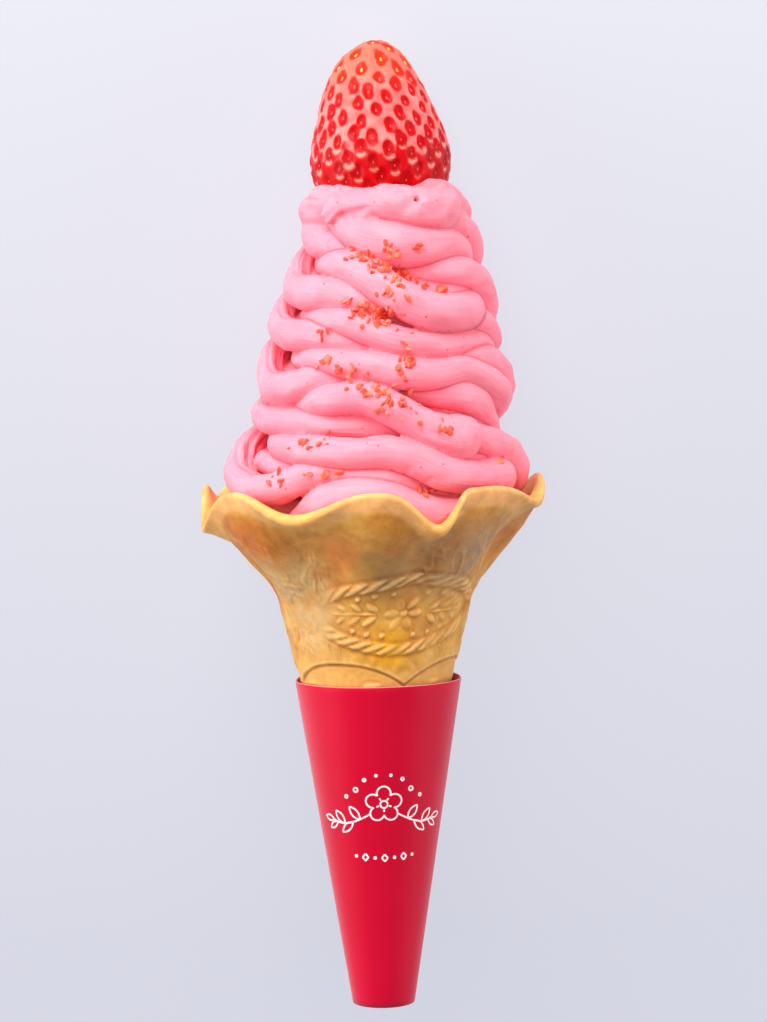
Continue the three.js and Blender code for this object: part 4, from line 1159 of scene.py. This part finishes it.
def buildCream():
    points, faces, ropes = [], [], []

    def add(newPoints, newFaces):
        base = sum(len(some) for some in points)
        points.append(newPoints)
        faces.extend([[v + base for v in face] for face in newFaces])

    for turn in turns.values():
        ropes.append((ropeRows(ropeLine(stationsOf(turn))), True))
    for height, radius, girth in bedRings:
        middle = table(height, pile["shape"], 2) + bedShift * (height < 210)
        around = np.radians(np.arange(0, 360, 7.5))
        ropes.append((ropeRows(np.column_stack([
            middle + radius * np.sin(around), np.full(48, height), radius * np.cos(around),
            np.full(48, girth)])), True))
    for rope, _ in ropes:
        add(*tubeOf(rope, pile["sides"]))
    ball, ballFaces = ballOf(2)
    for fold in folds:
        fold = np.array(fold, float)
        reach = lengthsAlong(fold[:, :3])
        steps = np.linspace(0, reach[-1], max(3, int(reach[-1] / 0.7)))
        line = np.column_stack([np.interp(steps, reach, fold[:, i]) for i in range(4)])
        ropes.append((ropeRows(line, False), False))
        for row in line:
            add(ball * row[3] + row[:3], ballFaces)
    core, sides = pile["core"], pile["coreSides"]
    angle = np.linspace(0, 2 * math.pi, sides, endpoint=False)
    ring = np.stack([np.stack([table(h, pile["shape"], 2) * (h > 126) + r * np.sin(angle),
                               np.full(sides, h), r * np.cos(angle)], axis=-1) for h, r in core])
    add(ring.reshape(-1, 3), gridFaces(len(core), sides)
        + [list(range(sides))[::-1], [(len(core) - 1) * sides + i for i in range(sides)]])
    skin, skinFaces, normals = reshaped(np.concatenate(points), faces, [
        ("REMESH", {"mode": "VOXEL", "voxel_size": pile["voxel"]}),
        ("SMOOTH", {"factor": 0.5, "iterations": 1})])
    skin, _ = drawnOn(skin, normals, nearRopes(skin, ropes))
    share = pile["triangles"] / sum(len(face) - 2 for face in skinFaces)
    skin, skinFaces, normals = reshaped(skin, skinFaces, [("DECIMATE", {"ratio": share})])
    print("cream skin:", len(skinFaces), "faces")
    near = nearRopes(skin, ropes)
    _, second, _, _, across, up, along = near
    skin, outward = drawnOn(skin, normals, near)
    crown = smooth(skin[:, 1], 208, 216)
    # painted shade masks: the fold mask where two ropes meet, lighter on the crown, and below it a mask
    # for skin lying deep inside the pile's outline
    fold = (1 - smooth(second, 0.0, 1.2)) * (1 - 0.45 * crown)
    reach = np.hypot(skin[:, 0] - table(skin[:, 1], pile["shape"], 2), skin[:, 2])
    recessShade = smooth(table(skin[:, 1], pile["shape"]) - reach, 1.5, 6.5) * (skin[:, 1] > 140)

    # drag ridges where the rope turns in from behind on the left
    turnHere = np.degrees(np.arctan2(skin[:, 0] - table(skin[:, 1], pile["shape"], 2),
                                     skin[:, 2]))
    hook = smooth(-turnHere, 48, 62) * (1 - smooth(-turnHere, 120, 140)) * smooth(second, 0.3, 1.5)
    hook = hook * smooth(across, -2.0, 1.5) * (1 - smooth(skin[:, 1], 206, 212))
    roundRope = np.arctan2(up, across)
    ridges = hook * (0.34 * np.cos(roundRope * 8 + along) + 0.12 * np.cos(roundRope * 15 + 2))
    # painted shade in the troughs between the drag ridges, added to the fold mask
    fold = np.maximum(fold, 0.5 * hook * smooth(-ridges, -0.1, 0.4))

    lumps = 0.16 * ripple(skin, 9, 31) + 0.05 * ripple(skin, 3.2, 32)
    lumps = lumps * (0.2 + 0.8 * smooth(second, 0.3, 2.2))
    lumps = lumps + crown * (0.25 * ripple(skin, 11, 33) + 0.12 * ripple(skin, 5, 34))
    for x0, y0, x1, y1, width, depth in nips:
        run = np.array([x1 - x0, y1 - y0])
        from0 = skin[:, :2] - [x0, y0]
        part = np.clip((from0 @ run) / max(run @ run, 1e-6), 0, 1)
        away = np.linalg.norm(from0 - part[:, None] * run, axis=1)
        pressed = np.exp(-(away / width) ** 2) * (skin[:, 2] > 4)
        lumps = lumps - depth * pressed
        # painted shade: the deepest nips and air holes are darkened to near black
        recessShade = np.maximum(recessShade, 2 * pressed * (depth > 1))
    skin = skin + outward * (lumps + ridges)[:, None]

    # held inside the wafer's mouth
    radius = np.hypot(skin[:, 0], skin[:, 2])
    limit = innerWall(np.arctan2(skin[:, 0], skin[:, 2]), skin[:, 1])
    squeeze = np.minimum(1, limit / np.maximum(radius, 1e-6))
    skin[:, 0] *= squeeze
    skin[:, 2] *= squeeze
    piece = makePiece("softCream", skin, skinFaces, softCream(),
                      {"fold": fold, "recessShade": recessShade, "hook": hook, "lineAcross": across,
                       "lineUp": up, "lineAlong": along})
    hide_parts("soft_cream")
    return skin, skinFaces


creamSkin, creamFaces = buildCream()
print("soft cream built")

# Freeze-dried crumbs.

crumbs = {"size": 0.84, "spread": 0.5, "seed": 7}
# where they fell: middle to the right, height, half spreads, slope and how many
drifts = [
    (2.6, 201.8, 8.5, 2.4, -0.5, 38), (10.0, 198.2, 7, 1.6, -0.5, 20), (15.5, 195.4, 5, 1.2, -0.3, 6),
    (6.8, 195.4, 4, 2.4, 0.1, 10), (0.8, 188.6, 8, 3.0, -0.1, 54), (5, 187, 6, 2, -0.3, 8),
    (-12.4, 184.2, 2.6, 1.6, 0.3, 6), (9.4, 176.6, 1.8, 7, 0.3, 24), (-6.5, 174.5, 6, 3, -0.2, 12),
    (1, 169.6, 6, 2.4, 0, 26),
    (7, 166.4, 6, 4, -0.2, 22), (18, 160.4, 4.5, 2, -0.2, 10), (-15.5, 155.6, 7.5, 1.8, 0.2, 12),
    (-24, 147, 5, 2, 0.1, 6), (-12, 148, 6, 1.6, 0.1, 6), (34.2, 149.4, 1.4, 0.7, 0, 3),
    (13.5, 206, 1.5, 1, 0, 5), (5, 206.5, 2.4, 2.2, -0.8, 12), (-12, 178, 4, 2, 0, 3),
    (14, 143, 2.5, 1, 0, 6),
]


def driedBerry():
    # Freeze-dried strawberry, crushed: dry, chalky and coral, with paler broken faces.
    material, tree, shader = newMaterial("strawberryFreezeDried")
    place = addNode(tree, "ShaderNodeTexCoord", output="Object")
    tone = addNode(tree, "ShaderNodeTexNoise", {"Vector": place, "Scale": 420.0, "Detail": 3.0})
    colour = addNode(tree, "ShaderNodeValToRGB", {"Fac": tone},
                     [(0.34, "#e04634"), (0.5, "#ee5e46"), (0.66, "#f6886c")])
    tree.links.new(colour, shader.inputs["Base Color"])
    shader.inputs["Roughness"].default_value = 0.78
    shader.inputs["Subsurface Weight"].default_value = 0.25
    shader.inputs["Subsurface Radius"].default_value = (1.0, 0.3, 0.2)
    shader.inputs["Subsurface Scale"].default_value = 0.001
    return material


def buildCrumbs():
    draw = np.random.default_rng(crumbs["seed"])
    tree = BVHTree.FromPolygons(creamSkin.tolist(), creamFaces)
    ball, ballFaces = ballOf(1)
    points, faces, base = [], [], 0
    for x, y, wide, tall, slope, count in drifts:
        for _ in range(count):
            dx, dy = np.clip(draw.normal(0, 0.5, 2), -1.2, 1.2) * (wide, tall)
            dy += dx * slope
            hit, normal, _, _ = tree.ray_cast(Vector((x + dx, y + dy, 80)), Vector((0, 0, -1)))
            size = crumbs["size"] * (1 + crumbs["spread"] * draw.uniform(-1, 1))
            stretch = (draw.uniform(0.9, 1.6), draw.uniform(0.35, 0.6), draw.uniform(0.8, 1.2))
            turn = Euler(draw.uniform(0, 6.28, 3)).to_matrix()
            if hit is None:
                continue
            rough = 1 + draw.uniform(-0.28, 0.28, len(ball))
            shape = (ball * rough[:, None] * stretch * size) @ np.array(turn).T
            middle = np.array(hit + normal * size * 0.25)
            points.append(shape + middle)
            faces += [[v + base for v in face] for face in ballFaces]
            base += len(ball)
    piece = makePiece("driedBerryCrumbs", np.concatenate(points), faces, driedBerry())
    for polygon in piece.data.polygons:
        polygon.use_smooth = False


buildCrumbs()
print("crumbs scattered")

# Strawberry.

berry = {
    "shift": 3.6, "lean": 5.3, "tipHeight": 260.9,
    "tipAside": 1.6,  # mm, the tip lies this far right of the middle
    # from the tip: distance down and radius
    "outline": [(0, 0), (0.25, 2.0), (1.1, 4.2), (2.2, 5.9), (3.8, 7.8), (7.0, 10.3),
                (10.3, 12.1), (13.5, 13.6), (16.7, 14.9), (20, 16.0), (23.2, 17.1), (26.5, 18.1),
                (29.7, 18.7), (32.9, 18.9), (36.2, 18.4), (39.5, 17.4), (42.5, 13.5), (44.6, 7),
                (45, 0)],
    "columns": 300, "rows": 190,
    "leanPoint": 34,  # mm below the tip, where it is widest and leans about
    "heart": 28,  # mm below the tip, the middle of its body
    "pitSpacing": 5.1, "pitDepth": 0.7, "pitLong": 2.0, "pitWide": 1.42, "seed": 3,
}


def berryPlace(points):
    # From the berry's own frame, its tip at 0 and its body below, to the cone's.
    lean = math.radians(berry["lean"])
    x, y, z = points.T
    y = y + berry["leanPoint"]
    return np.stack([x * math.cos(lean) - y * math.sin(lean) + berry["shift"],
                     y * math.cos(lean) + x * math.sin(lean) + berry["tipHeight"]
                     - berry["leanPoint"], z], axis=-1)


def berrySurface(down, angle):
    radius = table(down, berry["outline"])
    # three soft ribs and a slight squareness
    radius = radius * (1 + 0.012 * np.cos(3 * angle + 0.6) + 0.01 * np.cos(2 * angle + 2.0))
    aside = berry["tipAside"] * np.exp(-down / 4)
    return np.stack([radius * np.sin(angle) + aside, -down, radius * np.cos(angle)], axis=-1)


def pitCentres():
    # One pit after another along a spiral of golden turns, each with the same share of skin.
    down = np.linspace(0, 43, 600)
    radius = table(down, berry["outline"])
    width = np.hypot(np.gradient(down), np.gradient(radius))
    crowd = 1 - 0.4 * (1 - smooth(down, 5, 14))  # fewer towards the tip
    area = np.cumsum(2 * math.pi * radius * width * crowd)
    share = berry["pitSpacing"] ** 2 * 0.87
    count = int(area[-1] / share)
    draw = np.random.default_rng(berry["seed"])
    turn = np.arange(count) * math.radians(137.508) + draw.normal(0, 0.03, count)
    return np.stack([np.interp((np.arange(count) + 0.5) * share, area, down)
                     + draw.normal(0, 0.15, count), turn], axis=-1)


def berryFlesh():
    # Ripe strawberry flesh: moist, red and translucent. Above, a painted reflection of the lights pales
    # the net between the red pits to salmon; the part below is red all over but for a painted highlight, a
    # pale spot under each seed.
    material, tree, shader = newMaterial("strawberryFlesh")
    place = addNode(tree, "ShaderNodeTexCoord", output="Object")
    blush = addNode(tree, "ShaderNodeTexNoise", {"Vector": place, "Scale": 240.0, "Detail": 3.0})
    ridge, ripe, young, spot = (
        addNode(tree, "ShaderNodeAttribute", {"attribute_name": name}, output="Fac")
        for name in ("ridge", "ripe", "young", "spot"))
    blend = {"data_type": "RGBA"}
    # painted reflection: the raised net between the pits paled to salmon
    netReflection = addNode(tree, "ShaderNodeValToRGB", {"Fac": blush}, [(0.38, "#ec635e"), (0.6, "#f27e78")])
    netReflection = addNode(tree, "ShaderNodeMix", {**blend, 0: young, 6: netReflection, 7: linear("#f06856")},
                  output=2)
    pit = addNode(tree, "ShaderNodeMix", {**blend, 0: young, 6: linear("#b8020a"),
                                          7: linear("#de2c12")}, output=2)
    between = addNode(tree, "ShaderNodeValToRGB", {"Fac": ridge}, [(0.64, 0.0), (0.88, 1.0)])
    above = addNode(tree, "ShaderNodeMix", {**blend, 0: between, 6: pit, 7: netReflection}, output=2)
    below = addNode(tree, "ShaderNodeMix", {**blend, 0: between, 6: linear("#a20006"),
                                            7: linear("#bc040e")}, output=2)
    # painted highlight: a pale spot under each seed
    below = addNode(tree, "ShaderNodeMix", {**blend, 0: spot, 6: below, 7: linear("#f0988a")},
                    output=2)
    colour = addNode(tree, "ShaderNodeMix", {**blend, 0: ripe, 6: above, 7: below}, output=2)
    tree.links.new(colour, shader.inputs["Base Color"])
    shader.inputs["Subsurface Weight"].default_value = 0.3
    shader.inputs["Subsurface Radius"].default_value = (1.0, 0.15, 0.1)
    shader.inputs["Subsurface Scale"].default_value = 0.0015
    shader.inputs["Roughness"].default_value = 0.4
    shader.inputs["Specular IOR Level"].default_value = 0.15
    shader.inputs["IOR"].default_value = 1.4
    shader.inputs["Coat Weight"].default_value = 0.03
    shader.inputs["Coat Roughness"].default_value = 0.12
    skinGrain = addNode(tree, "ShaderNodeTexNoise",
                        {"Vector": place, "Scale": 900.0, "Detail": 2.0})
    bump = addNode(tree, "ShaderNodeBump", {"Height": skinGrain, "Strength": 0.25,
                                            "Distance": 0.0001})
    tree.links.new(bump, shader.inputs["Normal"])
    return material


def acheneHusk():
    # Strawberry seed husk: smooth, dry and golden, redder where it ripened in the shade.
    material, tree, shader = newMaterial("acheneHusk")
    ripe = addNode(tree, "ShaderNodeAttribute", {"attribute_name": "ripe"}, output="Fac")
    colour = addNode(tree, "ShaderNodeValToRGB", {"Fac": ripe},
                     [(0.1, "#f0a838"), (0.5, "#e86048"), (1.0, "#d8302c")])
    tree.links.new(colour, shader.inputs["Base Color"])
    shader.inputs["Roughness"].default_value = 0.35
    return material


def buildBerry():
    columns, rows = berry["columns"], berry["rows"]
    part = (1 - np.cos(np.linspace(0, math.pi, rows))) / 2
    outline = np.array(berry["outline"])
    reach = np.concatenate([[0], np.cumsum(np.hypot(*np.diff(outline, axis=0).T))])
    down = np.interp(part * reach[-1], reach, outline[:, 0])
    angle = np.linspace(0, 2 * math.pi, columns, endpoint=False)
    downGrid, angleGrid = np.meshgrid(down, angle, indexing="ij")
    surface = berrySurface(downGrid.ravel(), angleGrid.ravel())
    grid = surface.reshape(rows, columns, 3)
    du = np.gradient(grid, axis=0)
    dv = np.roll(grid, -1, axis=1) - np.roll(grid, 1, axis=1)
    normal = np.cross(dv, du).reshape(-1, 3)
    length = np.linalg.norm(normal, axis=1, keepdims=True)
    normal = np.where(length > 1e-9, normal / np.maximum(length, 1e-9), [[0, 1, 0]])
    outwards = (normal * (surface - [0, -berry["heart"], 0])).sum(1)
    normal = np.where(outwards[:, None] < 0, -normal, normal)
    pit, spot = np.zeros((2, len(surface)))
    frayed = 1 + 0.1 * ripple(surface, 3.4, 44)
    centres = pitCentres()
    draw = np.random.default_rng(berry["seed"] + 1)
    for centreDown, centreAngle in centres:
        centre = berrySurface(np.array([centreDown]), np.array([centreAngle]))[0]
        offset = surface - centre
        near = np.linalg.norm(offset, axis=1) < 4.2
        sideways = np.array([math.cos(centreAngle), 0, -math.sin(centreAngle)])
        a = (offset[near] @ sideways) / berry["pitWide"]
        b = np.sqrt(np.maximum((offset[near] ** 2).sum(1) - (a * berry["pitWide"]) ** 2, 0)) \
            / berry["pitLong"]
        grown = frayed[near] * draw.uniform(0.84, 1.12)
        pit[near] = np.maximum(pit[near], np.exp(-((a * a + b * b) / grown ** 2) ** 1.3))
        # painted highlight: a pale crescent under it, where the skin is ripe
        size = float(1 - smooth(np.array(centreDown), 29, 40)) * draw.uniform(0.3, 1.0)
        below = smooth(-offset[near][:, 1] / np.maximum(np.linalg.norm(offset[near], axis=1), 0.1),
                       0.95 - 0.3 * size, 1.0 - 0.15 * size)
        rim = np.exp(-((np.hypot(a, b) - 1.25) / (0.32 * size + 0.02)) ** 2)
        spot[near] = np.maximum(spot[near], below * rim * min(1, 2 * size))
    ripe = smooth(-surface[:, 1] + 1.3 * ripple(surface, 7, 42) + 0.4 * ripple(surface, 2.5, 43),
                  28.6, 29.8)
    skin = surface - normal * (pit * (1 - 0.35 * ripe) * berry["pitDepth"])[:, None]
    skin = skin + normal * (0.06 * ripple(surface, 3, 41))[:, None]
    young = 1 - smooth(-surface[:, 1], 4, 17)
    faces = gridFaces(rows, columns)
    piece = makePiece("strawberryFruit", berryPlace(skin), faces, berryFlesh(),
                      {"ridge": 1 - pit, "ripe": ripe, "young": young, "spot": spot})
    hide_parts("strawberry")

    ball, ballFaces = ballOf(2)
    points, seedFaces, ripeness, base = [], [], [], 0
    for centreDown, centreAngle in centres:
        if centreDown > 40:
            continue
        centre = berrySurface(np.array([centreDown]), np.array([centreAngle]))[0]
        lower = berrySurface(np.array([centreDown + 0.6]), np.array([centreAngle]))[0]
        downwards = (lower - centre) / np.linalg.norm(lower - centre)
        sideways = np.array([math.cos(centreAngle), 0, -math.sin(centreAngle)])
        outward = np.cross(downwards, sideways)
        if outward @ (centre - [0, -berry["heart"], 0]) < 0:
            outward = -outward
        taper = 1 - 0.28 * ball[:, 1]
        size = 1 - 0.45 * float(smooth(np.array(centreDown), 14.0, 30.0))
        shape = (ball[:, :1] * sideways * (0.4 * taper)[:, None]
                 + ball[:, 1:2] * -downwards * 0.72 + ball[:, 2:] * outward * 0.3) * size
        sunk = berry["pitDepth"] * (0.82 - 0.28 * float(smooth(np.array(centreDown), 27, 31)))
        points.append(centre + downwards * 0.3 - outward * sunk + shape)
        seedFaces += [[v + base for v in face] for face in ballFaces]
        ripeness += [float(smooth(np.array(centreDown), 5.0, 15.0))] * len(ball)
        base += len(ball)
    makePiece("strawberryAchenes", berryPlace(np.concatenate(points)), seedFaces, acheneHusk(),
              {"ripe": ripeness})


buildBerry()
print("strawberry built")
